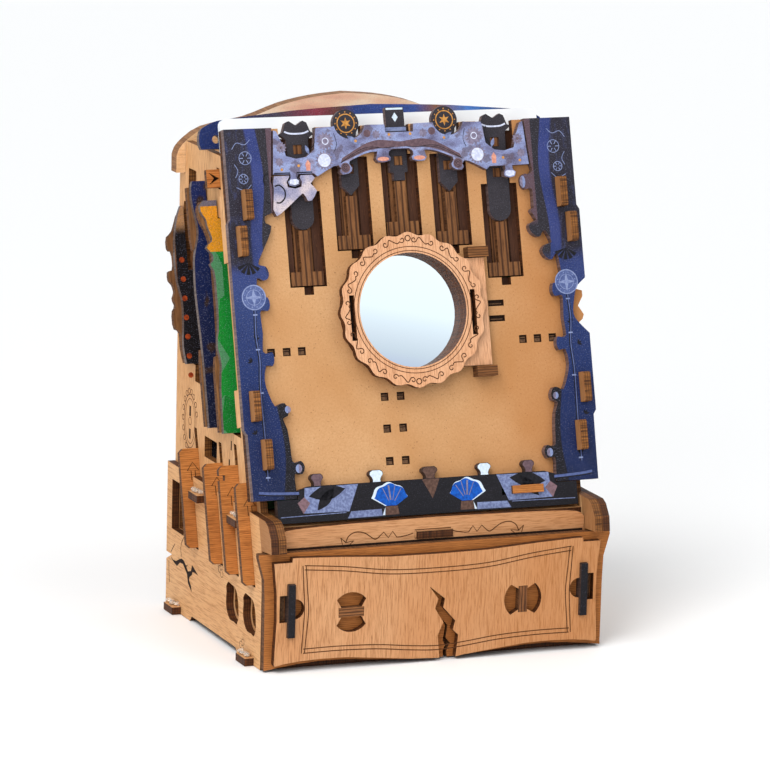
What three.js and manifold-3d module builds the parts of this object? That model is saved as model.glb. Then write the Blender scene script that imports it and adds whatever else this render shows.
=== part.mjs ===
import * as THREE from "three";
import { mergeVertices } from "three/addons/utils/BufferGeometryUtils.js";
import Module from "manifold-3d";

// A laser-cut wooden puzzle box: a drawer base, a leaning front panel with five pull-up sliders and a mirror
// door, and three leaning picture boards between the side walls. Millimetres, +Z up, +X right, -Y the front.
// The origin is the centre of the underside.

// Stock and clearances
const PLY = 3.2;
const BOARD = 2.6;
const GLUE = 0.05;
const GAP = 0.3;
const FIT = 0.15;
const RUN = 0.4;
const BAY_CLEARANCE = 1.2;
const OVERRUN = 1;

// Base box
const BASE_WIDTH = 152;
const BASE_DEPTH = 120;
const BASE_HEIGHT = 63.6;
const FLOOR_THICKNESS = 3.2;
const FOOT_RECESS_HEIGHT = 2.4;
const FOOT_RECESS_LENGTH = 58.4;
const WALL_SETBACK = 4;
const NOSE_REACH = 10.7;
const NOSE_DROP = 13.2;
const DECK_DROP = 8;
const DECK_THICKNESS = 3.2;
const TAB_REACH = 4;
const TAB_LENGTH = 10.6;
const FLOOR_TAB_FRONT = -43;
const FLOOR_TAB_REAR = 46;
const DECK_TAB_FRONT = -29.2;
const DECK_TAB_REAR = 17.5;
const REAR_NOTCH_HEIGHT = 22;
const REAR_NOTCH_DEPTH = 7;

// Case and leaning front panel; each rise is a height over the top of the base box
const TILT_DEGREES = 16;
const PANEL_FOOT_Y = -49.5;
const PANEL_FOOT_RISE = 6.4;
const PANEL_OVERHANG = 3.4;
const PANEL_HEIGHT = 154;
const CASE_REAR_RISE = 126.4;
const CASE_RISE = 140.4;
const CASE_FOOT = 3.5;
const OPENING_BOTTOM_RISE = 26.4;
const OPENING_TOP_RISE = 114.4;
const OPENING_FRONT_OFFSET = 24;
const OPENING_REAR_OFFSET = 79.4;
const OPENING_REAR_LIMIT = 54.5;
const OPENING_STEP_LOW_RISE = 39.4;
const OPENING_STEP_HIGH_RISE = 46.4;
const OPENING_STEP_FRONT = 25;
const OPENING_STEP_REAR = 37;
const OPENING_REAR_RISE = 86.4;
const KEYWAY_FRONT = 39.7;
const KEYWAY_REAR = 49;
const KEYWAY_RISE = 129.4;
const WINDOW_FRONT = 9;
const WINDOW_REAR = 24;
const WINDOW_BOTTOM_RISE = 9.4;
const WINDOW_TOP_RISE = 18.4;

// Tenons that lock the panel to the walls
const TENON_LENGTH = 12.6;
const TENON_PROUD = 4.8;
const TENON_ROUND = 1.2;
const INNER_TENON_LOW = 12.6;
const INNER_TENON_HIGH = 116;
const OUTER_TENON_LOW = 32.8;
const OUTER_TENON_HIGH = 101;
const BRACE_BOTTOM = 31.5;
const BRACE_STEP_LOW = 47;
const BRACE_STEP_HIGH = 100;
const BRACE_TOP = 128;
const BRACE_LOW_DEPTH = 10.6;
const BRACE_WAIST_DEPTH = 3.3;
const BRACE_HIGH_DEPTH = 10.3;

// Rear arch
const ARCH_THICKNESS = 6.4;
const ARCH_HALF = 76.5;
const ARCH_HEIGHT = 31.8;
const BACK_DROP = 4;

// Drawer
const DRAWER_FRONT_HEIGHT = 49.4;
const DRAWER_FRONT_LIFT = 0.6;
const DRAWER_HALF_BOTTOM = 76;
const DRAWER_HALF_TOP = 79.1;
const DRAWER_FOOT_ARCH = 2.6;
const DEEP_CRACK_LEFT = 3.4;
const DEEP_CRACK_WIDTH = 3.7;
const DEEP_CRACK_HEIGHT = 16.1;
const FACE_HALF = 73.4;
const FACE_BOTTOM = 1.2;
const FACE_HEIGHT = 47.2;
const DRAWER_DEPTH = 100;
const DRAWER_SIDE_HEIGHT = 40;
const DRAWER_SIDE_GAP = 0.7;
const DRAWER_FLOOR_LIFT = 0.6;
const GRIP_RADIUS = 8.5;
const GRIP_WAIST = 4.5;
const GRIP_HALF_ANGLE = 50;
const GRIP_BAR_LENGTH = 11;
const GRIP_BAR_WIDTH = 3.8;
const GRIP_LEFT_X = -38.9;
const GRIP_RIGHT_X = 38.4;
const GRIP_HEIGHT = 23.8;
const BAR_X = 65.8;
const BAR_WIDTH = 3.1;
const BAR_BOTTOM = 15;
const BAR_TOP = 37.5;
const BAR_PROUD = 1.5;
const BAR_NOTCH_OUT = 70.7;
const BAR_NOTCH_BOTTOM = 21.4;
const BAR_NOTCH_TOP = 32.8;
const BAR_ROUND_RADIUS = 4.3;
const BAR_ROUND_HEIGHT = 26.8;
const CRACK_WIDTH = 13.4;
const CRACK_TOP = 32.1;

// Fascia between the noses
const FASCIA_HALF = 69;
const FASCIA_DROP = 14.8;
const FASCIA_HEIGHT = 11;
const FASCIA_SETBACK = 4.6;
const RAIL_THICKNESS = 3.2;
const RAIL_DEPTH = 30;
const RAIL_DROP = 12.6;
const RAIL_TENON_LEFT = -7.2;
const RAIL_TENON_RIGHT = 8.9;
const RAIL_TENON_PROUD = 0.6;

// Picture boards between the walls
const WING_REACH = 8.2;
const FRONT_WING_RISE = 121.4;
const MIDDLE_WING_RISE = 127.4;
const REAR_WING_RISE = 112.4;
const BACKING_WING_DROPS = [1, 3, 2];
const BACKING_TOPS = [140, 140, 112];
const BACKING_SHOULDERS = [132, 130, 104];
const WINDOW_HALVES = [52, 46, 42];
const WINDOW_SILLS = [14, 18, 28];
const WINDOW_SPRINGS = [92, 92, 62];
const LAYER_FRONT_OFFSET = 30;
const LAYER_MIDDLE_OFFSET = 42;
const LAYER_REAR_OFFSET = 73;
const FRONT_ARCH_TOP = 166;
const FRONT_ARCH_END = 149.4;
const FRONT_ARCH_HALF = 78.7;
const ARCH_EYE_RADIUS = 1.8;
const ARCH_EYE_U = 71;
const ARCH_EYE_V = 153.4;
const MIDDLE_TOP = 156;
const MIDDLE_SHOULDER = 143;
const REAR_LAYER_TOP = 118;
const REAR_LAYER_SHOULDER = 112;
const BACKING_WINDOW_DROP = 13;

// Arrow sliders in the left wall
const ARROW_TRAVEL = 8;
const ARROW_OUT = 81.1;
const ARROW_DROP = 30;
const ARROW_RISE = 11.4;
const MUSHROOM_RISE = 14.4;
const MUSHROOM_CAP = 4;
const MUSHROOM_NECK = 2.2;
const MUSHROOM_BITE = 2.5;
const ARROW_CHAMFER = 1.6;
const ARROW_BAR_RISE = 126.6;
const ARROW_BAR_HEIGHT = 8;
const ARROW_BAR_OFFSET = 25;
const ARROW_BAR_PROUD = 5.8;
const ARROW_CUT_LENGTH = 4.6;
const ARROW_CUT_HALF = 2.6;

// Sliders and their channels
const CHANNEL_PITCH = 22.3;
const CHANNEL_WIDTH = 16.3;
const CHANNEL_NOTCH_WIDTH = 4.2;
const CHANNEL_NOTCH_DEPTH = 3.3;
const CARRIAGE_BLOCK = 5.8;
const CARRIAGE_BLOCK_WIDTH = 14.5;
const CARRIAGE_ROD_WIDTH = 4.8;
const CARRIAGE_SPINE_WIDTH = 8;
const CARRIAGE_RECESS = 0.7;
const CARRIAGE_LIFT = 0.6;
const TENON_SQUARE = 4;
const CHANNEL_BACK_BOTTOM = 78;
const CHANNEL_BACK_TOP = 150;
const CHANNEL_BACK_HALF = 67;
const BOARD_INSET = 1.5;

// Top strip
const STRIP_OFFSET = 20.8;
const STRIP_HALF = 72;
const STRIP_TOP = 160.8;
const STRIP_BOTTOM = 146.8;
const STRIP_THICKNESS = 3;

// Mirror door
const MIRROR_U = -1.5;
const MIRROR_V = 75.3;
const RING_RADIUS = 32;
const RING_LOBE = 0.7;
const RING_LOBES = 20;
const MIRROR_RADIUS = 24;
const GLASS_RADIUS = 26;
const GLASS_THICKNESS = 2;
const GLASS_CLEARANCE = 0.9;
const RING_SLIT_WIDTH = 2.2;
const RING_SLIT_LENGTH = 19;
const RING_SLIT_U = 27.2;
const RING_SLIT_DROP = 2.2;
const PLATE_RADIUS = 30.5;
const PLATE_BOTTOM = 50.8;
const PLATE_TOP = 96;
const HINGE_U = 31.2;
const PLATE_PAST_HINGE = 2.4;
const HINGE_SLOT_INWARD = 2.5;
const HINGE_SLOT_OUTWARD = 3.3;
const BRACKET_INWARD = 5.2;
const BRACKET_OUTWARD = 4;
const BRACKET_HEIGHT = 4.4;
const BRACKET_PROUD = 1.6;

// Skirt under the panel
const SKIRT_HALF = 67.6;
const SKIRT_DROP = 10;
const SKIRT_RISE = 4.8;
const SKIRT_RISE_HALF = 58;
const KNOB_HEIGHT = 5;
const SMALL_KNOB = 5.5;
const LARGE_KNOB = 6.2;
const MIDDLE_KNOB = 7;
const PEG_LEFT = 37.5;
const PEG_RIGHT = 51.7;
const PEG_SLOT_LEFT = 33.2;
const PEG_BOTTOM = -4;
const PEG_TOP = -0.6;
const PEG_PROUD = 1.5;

// Small cuts in the tan board
const PEEP_SIZE = 3.4;
const PEEP_ROW_V = 61;
const SLOT_LEFT = 35.4;
const SLOT_RIGHT = 42.5;
const SLOT_HEIGHT = 2.6;

// Worked out from the sizes above
const tilt = THREE.MathUtils.degToRad(TILT_DEGREES);
const sinTilt = Math.sin(tilt);
const cosTilt = Math.cos(tilt);
const halfBase = BASE_WIDTH / 2;
const frontY = -BASE_DEPTH / 2;
const rearY = BASE_DEPTH / 2;
const baseWallIn = halfBase - PLY;
const caseOut = baseWallIn - GAP;
const caseIn = caseOut - PLY;
const insideHalf = caseIn - GAP;
const overBase = (rise) => BASE_HEIGHT + rise;
const deckUnderside = BASE_HEIGHT - DECK_DROP;
const noseUnderside = BASE_HEIGHT - NOSE_DROP;
const fasciaBottom = BASE_HEIGHT - FASCIA_DROP;
const railUnderside = BASE_HEIGHT - RAIL_DROP;
const arrowBottom = BASE_HEIGHT - ARROW_DROP;
const arrowTop = overBase(ARROW_RISE);
const mushroomTop = overBase(MUSHROOM_RISE);
const panelFootZ = overBase(PANEL_FOOT_RISE);
const caseRearTop = overBase(CASE_REAR_RISE);
const caseTop = overBase(CASE_RISE);
const backTop = caseRearTop - BACK_DROP;
const openingBottom = overBase(OPENING_BOTTOM_RISE);
const openingTop = overBase(OPENING_TOP_RISE);
const openingStepLow = overBase(OPENING_STEP_LOW_RISE);
const openingStepHigh = overBase(OPENING_STEP_HIGH_RISE);
const openingRearTop = overBase(OPENING_REAR_RISE);
const keywayTop = overBase(KEYWAY_RISE);
const windowBottomZ = overBase(WINDOW_BOTTOM_RISE);
const windowTopZ = overBase(WINDOW_TOP_RISE);
const arrowBarBottom = overBase(ARROW_BAR_RISE);
const arrowBarTop = arrowBarBottom + ARROW_BAR_HEIGHT;
const panelHalf = halfBase + PANEL_OVERHANG;
const arrowBarHalf = caseOut + ARROW_BAR_PROUD;
const deckTop = deckUnderside + DECK_THICKNESS;
const wallFront = frontY + WALL_SETBACK;
const boardFront = -PLY - GAP;
const boardBack = boardFront - PLY;
const channelFront = boardBack - GAP;
const caseEdgeOffset = channelFront;

const WOOD = "#e3b987";
const TAN = "#d8a672";
const BURNT = "#8a5a2e";
const BLUE = "#3b4f9c";
const GREY_BLUE = "#8f9ccb";
const CHARCOAL = "#4b4750";
const BLACK = "#1b1a1c";
const NAVY = "#14307a";
const GREEN = "#2a7a3a";
const RED = "#6b1a10";
const CORAL = "#d9a08c";
const ACRYLIC = "#e4ecf4";
const MIRROR = "#dfe9f2";

const finish = (color, roughness = 0.7, metalness = 0) =>
  new THREE.MeshStandardMaterial({ color, roughness, metalness });

// Points and outlines

const rectangle = (left, bottom, right, top) => [
  [left, bottom],
  [right, bottom],
  [right, top],
  [left, top],
];

const mirrored = (points) => points.map(([x, y]) => [-x, y]).reverse();

const scaled = (shares, width, height, left = 0, bottom = 0) =>
  shares.map(([across, up]) => [left + across * width, bottom + up * height]);

function smooth(points, steps) {
  const curve = new THREE.SplineCurve(points.map(([x, y]) => new THREE.Vector2(x, y)));
  return curve.getPoints(steps).map((point) => [point.x, point.y]);
}

function arc(x, y, radius, fromDegrees, toDegrees, steps) {
  const points = [];
  for (let i = 0; i <= steps; i++) {
    const angle = THREE.MathUtils.degToRad(fromDegrees + ((toDegrees - fromDegrees) * i) / steps);
    points.push([x + radius * Math.cos(angle), y + radius * Math.sin(angle)]);
  }
  return points;
}

const circle = (x, y, radius, steps) => arc(x, y, radius, 0, 360, steps).slice(0, -1);

function extruded(outline, thickness) {
  const shape = new THREE.Shape(outline.map(([x, y]) => new THREE.Vector2(x, y)));
  return new THREE.ExtrudeGeometry(shape, { depth: thickness, bevelEnabled: false });
}

// Height on the wall of a plane that lies an offset behind the panel
const leanY = (offset, z) => PANEL_FOOT_Y + offset + ((z - panelFootZ) * sinTilt) / cosTilt;
// A point of the leaning frame, seen in the plane of the side walls
const leanPoint = (v, out) => [
  PANEL_FOOT_Y + v * sinTilt - out * cosTilt,
  panelFootZ + v * cosTilt + out * sinTilt,
];
// Distance up the leaning frame where a plane reaches a height
const riseAt = (z, out) => (z - panelFootZ - out * sinTilt) / cosTilt;

const wasm = await Module();
wasm.setup();

function solidOf(geometry) {
  const bare = geometry.clone();
  bare.deleteAttribute("normal");
  bare.deleteAttribute("uv");
  const merged = mergeVertices(bare);
  return new wasm.Manifold(
    new wasm.Mesh({
      numProp: 3,
      vertProperties: merged.attributes.position.array,
      triVerts: new Uint32Array(merged.index.array),
    }),
  );
}

function geometryOf(solid) {
  const mesh = solid.getMesh();
  const geometry = new THREE.BufferGeometry();
  geometry.setAttribute("position", new THREE.BufferAttribute(mesh.vertProperties, 3));
  geometry.setIndex(new THREE.BufferAttribute(mesh.triVerts, 1));
  geometry.computeVertexNormals();
  return geometry;
}

const joined = (geometries) =>
  geometryOf(geometries.map(solidOf).reduce((sum, solid) => sum.add(solid)));

// A flat plate with its holes cut right through
function plate(outline, thickness, holes = []) {
  const body = extruded(outline, thickness);
  if (holes.length === 0) {
    return body;
  }
  const cutter = (hole) => solidOf(extruded(hole, thickness + 2 * OVERRUN).translate(0, 0, -OVERRUN));
  return geometryOf(holes.reduce((rest, hole) => rest.subtract(cutter(hole)), solidOf(body)));
}

function block(left, bottom, back, right, top, front) {
  const geometry = new THREE.BoxGeometry(right - left, top - bottom, front - back);
  return geometry.translate((left + right) / 2, (bottom + top) / 2, (back + front) / 2);
}

// Frames that the plates lie in

const root = new THREE.Group();
const upright = new THREE.Group();
upright.rotation.x = Math.PI / 2;
const leaning = new THREE.Group();
leaning.position.set(0, PANEL_FOOT_Y, panelFootZ);
leaning.rotation.x = Math.PI / 2 - tilt;
const sideways = new THREE.Group();
sideways.quaternion.setFromRotationMatrix(
  new THREE.Matrix4().makeBasis(
    new THREE.Vector3(0, 1, 0),
    new THREE.Vector3(0, 0, 1),
    new THREE.Vector3(1, 0, 0),
  ),
);
root.add(upright, leaning, sideways);

function place(frame, name, geometry, material, depth = 0) {
  const mesh = new THREE.Mesh(geometry, material);
  mesh.name = name;
  mesh.position.z = depth;
  frame.add(mesh);
}

// An upright plate whose front face lies at a given y
const placeUpright = (name, outline, thickness, frontFace, material, holes) =>
  place(upright, name, plate(outline, thickness, holes), material, -frontFace - thickness);

// A leaning plate whose front face lies at a given distance out of the panel's face
const placeLeaning = (name, outline, thickness, frontFace, material, holes) =>
  place(leaning, name, plate(outline, thickness, holes), material, frontFace - thickness);

// Base floor and deck with tabs through both walls

function tabbedBoard(front, rear, tabs, half) {
  const right = [];
  for (const middle of tabs) {
    const reach = halfBase + TAB_REACH;
    right.push(
      [half, middle - TAB_LENGTH / 2],
      [reach, middle - TAB_LENGTH / 2],
      [reach, middle + TAB_LENGTH / 2],
      [half, middle + TAB_LENGTH / 2],
    );
  }
  const rightSide = [[half, front], ...right, [half, rear]];
  return [...rightSide, ...mirrored(rightSide)];
}

const floorTabs = [FLOOR_TAB_FRONT, FLOOR_TAB_REAR];
const deckTabs = [DECK_TAB_FRONT, DECK_TAB_REAR];

place(
  root,
  "base_floor",
  plate(tabbedBoard(wallFront, rearY, floorTabs, baseWallIn - GAP), FLOOR_THICKNESS),
  finish(WOOD),
);
const fasciaBack = frontY + FASCIA_SETBACK + PLY;
place(
  root,
  "base_deck",
  plate(tabbedBoard(fasciaBack + GAP, rearY, deckTabs, insideHalf), DECK_THICKNESS),
  finish(WOOD),
  deckUnderside,
);

// Noses of the walls, over the drawer front

const noseShares = [
  [0, 0],
  [1, 0.07],
  [0.9, 0.53],
  [0.55, 0.89],
  [0.24, 1],
];
const noseOutline = () =>
  scaled(noseShares, -NOSE_REACH, BASE_HEIGHT - noseUnderside, wallFront, noseUnderside);

const arrowOffsets = [80, 50, 31, 11.5];
const arrowTops = [arrowTop, arrowTop, mushroomTop, arrowTop];
const boardDepth = BOARD / cosTilt;

function leaningSlot(offset, bottom, top, clearance = GAP) {
  return [
    [leanY(offset - clearance, bottom), bottom],
    [leanY(offset + boardDepth + clearance, bottom), bottom],
    [leanY(offset + boardDepth + clearance, top), top],
    [leanY(offset - clearance, top), top],
  ];
}

// Slots open at the top of the base wall, listed from the rear forward
function topEdge(slotOffsets) {
  const edge = [];
  for (const offset of slotOffsets) {
    const slot = leaningSlot(offset, arrowBottom - GAP, BASE_HEIGHT);
    const [frontLow, rearLow, rearHigh, frontHigh] = slot;
    edge.push(rearHigh, rearLow, frontLow, frontHigh);
  }
  return edge;
}

const tabHole = (middle, bottom, thickness) =>
  rectangle(
    middle - TAB_LENGTH / 2 - FIT,
    bottom - FIT,
    middle + TAB_LENGTH / 2 + FIT,
    bottom + thickness + FIT,
  );

// Slanted teardrop eyes and the rear window, through the base wall and the case wall behind it
const eyeShares = [
  [0.85, 1],
  [0.64, 0.99],
  [0.315, 0.955],
  [0.144, 0.833],
  [0.05, 0.635],
  [0, 0.37],
  [0, 0.205],
  [0.06, 0.11],
  [0.15, 0],
  [0.36, 0.03],
  [0.67, 0.02],
  [0.89, 0.17],
  [1, 0.41],
  [0.97, 0.7],
  [1, 0.85],
];
const EYE_LENGTH = 15.2;
const EYE_HEIGHT = 16;
const EYE_BOTTOM = 12.3;
const EYE_REAR_START = -29.7;
const EYE_FRONT_START = -50.1;
const EYE_INSET = 1.2;
const closed = (points) => smooth([...points, points[0]], 2 * points.length).slice(0, -1);
const eye = (start, inset = 0) =>
  closed(
    scaled(eyeShares, EYE_LENGTH - 2 * inset, EYE_HEIGHT - 2 * inset, start + inset, EYE_BOTTOM + inset),
  );

const SIDE_SLOT_START = 38.6;
const SIDE_SLOT_LENGTH = 15.2;
const SIDE_SLOT_DROP = 6.7;
const SIDE_SLOT_HEIGHT = 21.8;
const sideSlotTop = BASE_HEIGHT - SIDE_SLOT_DROP;
const sideSlot = rectangle(
  SIDE_SLOT_START,
  sideSlotTop - SIDE_SLOT_HEIGHT,
  SIDE_SLOT_START + SIDE_SLOT_LENGTH,
  sideSlotTop,
);

function baseWallOutline(slotOffsets) {
  const recessFront = -FOOT_RECESS_LENGTH / 2;
  const recessRear = FOOT_RECESS_LENGTH / 2;
  const floorNotch = (middle) => [
    [middle - TAB_LENGTH / 2 - FIT, 0],
    [middle - TAB_LENGTH / 2 - FIT, FLOOR_THICKNESS + FIT],
    [middle + TAB_LENGTH / 2 + FIT, FLOOR_THICKNESS + FIT],
    [middle + TAB_LENGTH / 2 + FIT, 0],
  ];
  return [
    [wallFront, 0],
    ...floorNotch(FLOOR_TAB_FRONT),
    [recessFront, 0],
    [recessFront + FOOT_RECESS_HEIGHT, FOOT_RECESS_HEIGHT],
    [recessRear - FOOT_RECESS_HEIGHT, FOOT_RECESS_HEIGHT],
    [recessRear, 0],
    ...floorNotch(FLOOR_TAB_REAR),
    [rearY, 0],
    [rearY, REAR_NOTCH_HEIGHT - PLY / 2],
    [rearY - REAR_NOTCH_DEPTH, REAR_NOTCH_HEIGHT + PLY / 2],
    [rearY, REAR_NOTCH_HEIGHT + PLY / 2],
    [rearY, BASE_HEIGHT],
    ...topEdge(slotOffsets),
    ...noseOutline().reverse(),
  ];
}

const baseHoles = () => [
  ...deckTabs.map((middle) => tabHole(middle, deckUnderside, DECK_THICKNESS)),
  eye(EYE_REAR_START),
  eye(EYE_FRONT_START),
  sideSlot,
];

place(
  sideways,
  "base_wall_left",
  plate(baseWallOutline(arrowOffsets), PLY, baseHoles()),
  finish(WOOD),
  -halfBase,
);
place(sideways, "base_wall_right", plate(baseWallOutline([]), PLY, baseHoles()), finish(WOOD), baseWallIn);

// Case walls: behind the base walls below, open between the picture boards above

function tenon(low) {
  const shoulder = TENON_PROUD - TENON_ROUND;
  return [
    [low, caseEdgeOffset],
    ...arc(low + TENON_ROUND, shoulder, TENON_ROUND, 180, 90, 3),
    ...arc(low + TENON_LENGTH - TENON_ROUND, shoulder, TENON_ROUND, 90, 0, 3),
    [low + TENON_LENGTH, caseEdgeOffset],
  ].map(([v, out]) => leanPoint(v, out));
}

const archBack = rearY - GLUE;
const archFront = archBack - ARCH_THICKNESS;

function caseWallOutline() {
  const frontTop = riseAt(caseTop, caseEdgeOffset);
  const noseTop = riseAt(BASE_HEIGHT, caseEdgeOffset);
  return [
    [wallFront, CASE_FOOT],
    [rearY, CASE_FOOT],
    [rearY, caseRearTop],
    [archFront - GAP, caseRearTop],
    [archFront - GAP, caseTop],
    leanPoint(frontTop, caseEdgeOffset),
    ...tenon(INNER_TENON_HIGH).reverse(),
    ...tenon(INNER_TENON_LOW).reverse(),
    leanPoint(noseTop, caseEdgeOffset),
    ...noseOutline().reverse(),
  ];
}

const sideOpening = () => [
  [leanY(OPENING_FRONT_OFFSET, openingBottom), openingBottom],
  [OPENING_STEP_FRONT, openingBottom],
  [OPENING_STEP_FRONT, openingStepLow],
  [OPENING_STEP_REAR, openingStepLow],
  [OPENING_STEP_REAR, openingStepHigh],
  [leanY(OPENING_REAR_OFFSET, openingStepHigh), openingStepHigh],
  [leanY(OPENING_REAR_OFFSET, openingRearTop), openingRearTop],
  [OPENING_REAR_LIMIT, openingRearTop + PLY],
  [OPENING_REAR_LIMIT, openingTop],
  [KEYWAY_REAR, openingTop],
  [KEYWAY_REAR, keywayTop],
  [KEYWAY_FRONT, keywayTop],
  [KEYWAY_FRONT, openingTop],
  [leanY(OPENING_FRONT_OFFSET, openingTop), openingTop],
];

const caseHoles = (slotOffsets) => [
  sideOpening(),
  rectangle(WINDOW_FRONT, windowBottomZ, WINDOW_REAR, windowTopZ),
  leaningSlot(ARROW_BAR_OFFSET, arrowBarBottom - GAP, arrowBarTop + GAP),
  ...deckTabs.map((middle) => tabHole(middle, deckUnderside, DECK_THICKNESS)),
  eye(EYE_REAR_START, EYE_INSET),
  eye(EYE_FRONT_START, EYE_INSET),
  sideSlot,
  ...slotOffsets.map((offset, i) =>
    leaningSlot(offset, arrowBottom - GAP, arrowTops[i] + ARROW_TRAVEL * cosTilt + GAP),
  ),
];

place(
  sideways,
  "case_wall_left",
  plate(caseWallOutline(), PLY, caseHoles(arrowOffsets)),
  finish(WOOD),
  -caseOut,
);
place(sideways, "case_wall_right", plate(caseWallOutline(), PLY, caseHoles([])), finish(WOOD), caseIn);

// Braces outside the case walls, behind the edges of the panel

const braceOutline = [
  leanPoint(BRACE_BOTTOM, caseEdgeOffset - BRACE_LOW_DEPTH),
  leanPoint(BRACE_STEP_LOW, caseEdgeOffset - BRACE_LOW_DEPTH),
  leanPoint(BRACE_STEP_LOW, caseEdgeOffset - BRACE_WAIST_DEPTH),
  leanPoint(BRACE_STEP_HIGH, caseEdgeOffset - BRACE_WAIST_DEPTH),
  leanPoint(BRACE_STEP_HIGH, caseEdgeOffset - BRACE_HIGH_DEPTH),
  leanPoint(BRACE_TOP, caseEdgeOffset - BRACE_HIGH_DEPTH),
  leanPoint(BRACE_TOP, caseEdgeOffset),
  ...tenon(OUTER_TENON_HIGH).reverse(),
  ...tenon(OUTER_TENON_LOW).reverse(),
  leanPoint(BRACE_BOTTOM, caseEdgeOffset),
];
place(sideways, "front_brace_left", plate(braceOutline, PLY), finish(WOOD), -halfBase);
place(sideways, "front_brace_right", plate(braceOutline, PLY), finish(WOOD), baseWallIn);

// Back panels and the arch that crowns them

placeUpright(
  "base_back_panel",
  rectangle(-insideHalf, FLOOR_THICKNESS + GAP, insideHalf, deckUnderside - GAP),
  PLY,
  rearY - PLY,
  finish(WOOD),
);
placeUpright(
  "case_back_panel",
  rectangle(-insideHalf, deckTop + GAP, insideHalf, backTop),
  PLY,
  rearY - PLY,
  finish(WOOD),
);

const archShares = [
  [1, 0.23],
  [0.967, 0.38],
  [0.837, 0.59],
  [0.588, 0.7],
  [0.379, 0.87],
  [0.19, 0.96],
  [0, 1],
];
const archBottom = caseRearTop + GAP;
const archRight = [
  [insideHalf, backTop + GAP],
  [insideHalf, archBottom],
  [ARCH_HALF, archBottom],
  ...smooth(scaled(archShares, ARCH_HALF, ARCH_HEIGHT, 0, archBottom), 18),
];
placeUpright(
  "rear_arch_board",
  [...archRight, ...mirrored(archRight).slice(1)],
  ARCH_THICKNESS,
  archFront,
  finish(CORAL),
);

// Fascia with the tenon of the rail behind it

const fasciaFront = frontY + FASCIA_SETBACK;
const fasciaShares = [
  [1, 0.62],
  [0.93, 0.86],
  [0.6, 0.95],
  [0, 1],
];
const fasciaTop = smooth(scaled(fasciaShares, FASCIA_HALF, FASCIA_HEIGHT, 0, fasciaBottom), 10);
placeUpright(
  "front_fascia",
  [
    [-FASCIA_HALF, fasciaBottom],
    [FASCIA_HALF, fasciaBottom],
    ...fasciaTop,
    ...mirrored(fasciaTop).slice(1),
  ],
  PLY,
  fasciaFront,
  finish(WOOD),
  [
    rectangle(
      RAIL_TENON_LEFT - FIT,
      railUnderside - FIT,
      RAIL_TENON_RIGHT + FIT,
      railUnderside + RAIL_THICKNESS + FIT,
    ),
  ],
);
const railFront = fasciaBack + GAP;
const railTenonFront = fasciaFront - RAIL_TENON_PROUD;
place(
  root,
  "front_rail",
  plate(
    [
      [-insideHalf, railFront],
      [RAIL_TENON_LEFT, railFront],
      [RAIL_TENON_LEFT, railTenonFront],
      [RAIL_TENON_RIGHT, railTenonFront],
      [RAIL_TENON_RIGHT, railFront],
      [insideHalf, railFront],
      [insideHalf, railFront + RAIL_DEPTH],
      [-insideHalf, railFront + RAIL_DEPTH],
    ],
    RAIL_THICKNESS,
  ),
  finish(WOOD),
  railUnderside,
);

// Drawer

const flareShares = [
  [0, 0],
  [0.02, 0.3],
  [0.04, 0.58],
  [0.16, 0.78],
  [1, 0.97],
  [0.96, 1],
];
const flare = scaled(
  flareShares,
  DRAWER_HALF_TOP - DRAWER_HALF_BOTTOM,
  DRAWER_FRONT_HEIGHT,
  DRAWER_HALF_BOTTOM,
  DRAWER_FRONT_LIFT,
);
const drawerFootShares = [
  [0.15, 0.06],
  [0.33, 0.46],
  [0.54, 0.96],
  [0.68, 1],
  [0.82, 0.69],
  [0.93, 0.31],
];
const drawerFoot = scaled(drawerFootShares, DRAWER_HALF_BOTTOM, DRAWER_FOOT_ARCH, 0, DRAWER_FRONT_LIFT);
const deepCrackShares = [
  [0.19, 0],
  [0.135, 0.18],
  [0.405, 0.304],
  [0.108, 0.447],
  [0.351, 0.82],
  [0, 1],
  [0.649, 0.839],
  [0.459, 0.509],
  [1, 0.366],
  [0.595, 0.168],
  [0.649, 0],
];
const deepCrack = scaled(
  deepCrackShares,
  DEEP_CRACK_WIDTH,
  DEEP_CRACK_HEIGHT,
  DEEP_CRACK_LEFT,
  DRAWER_FRONT_LIFT,
);
placeUpright(
  "drawer_front_inner",
  [...mirrored(drawerFoot), ...deepCrack, ...drawerFoot, ...flare, ...mirrored(flare)],
  PLY,
  frontY,
  finish(BURNT),
);

// The crack runs up from the lower edge of the face
const crackShares = [
  [0.38, 0],
  [0.31, 0.313],
  [0.485, 0.492],
  [0.2, 0.689],
  [0.3, 0.821],
  [0, 1],
  [0.52, 0.821],
  [0.47, 0.699],
  [0.89, 0.501],
  [0.81, 0.379],
  [1, 0.303],
  [0.93, 0],
];
const crackLeft = -CRACK_WIDTH * 0.3;
const crackOutline = scaled(crackShares, CRACK_WIDTH, CRACK_TOP - FACE_BOTTOM, crackLeft, FACE_BOTTOM);

const faceShares = [
  [0.163, 0.013],
  [0.341, 0.042],
  [0.559, 0.074],
  [0.708, 0.078],
  [0.831, 0.07],
  [0.924, 0.057],
  [0.988, 0.038],
  [0.992, 0.059],
  [0.98, 0.441],
  [0.982, 0.674],
  [1, 0.962],
  [0.892, 0.962],
  [0.89, 1],
  [0.845, 1],
  [0.606, 0.983],
  [0.3, 0.953],
  [0, 0.949],
];
const faceRight = scaled(faceShares, FACE_HALF, FACE_HEIGHT, 0, FACE_BOTTOM);
const faceOutline = [...crackOutline, ...faceRight, ...mirrored(faceRight).slice(1)];

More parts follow.
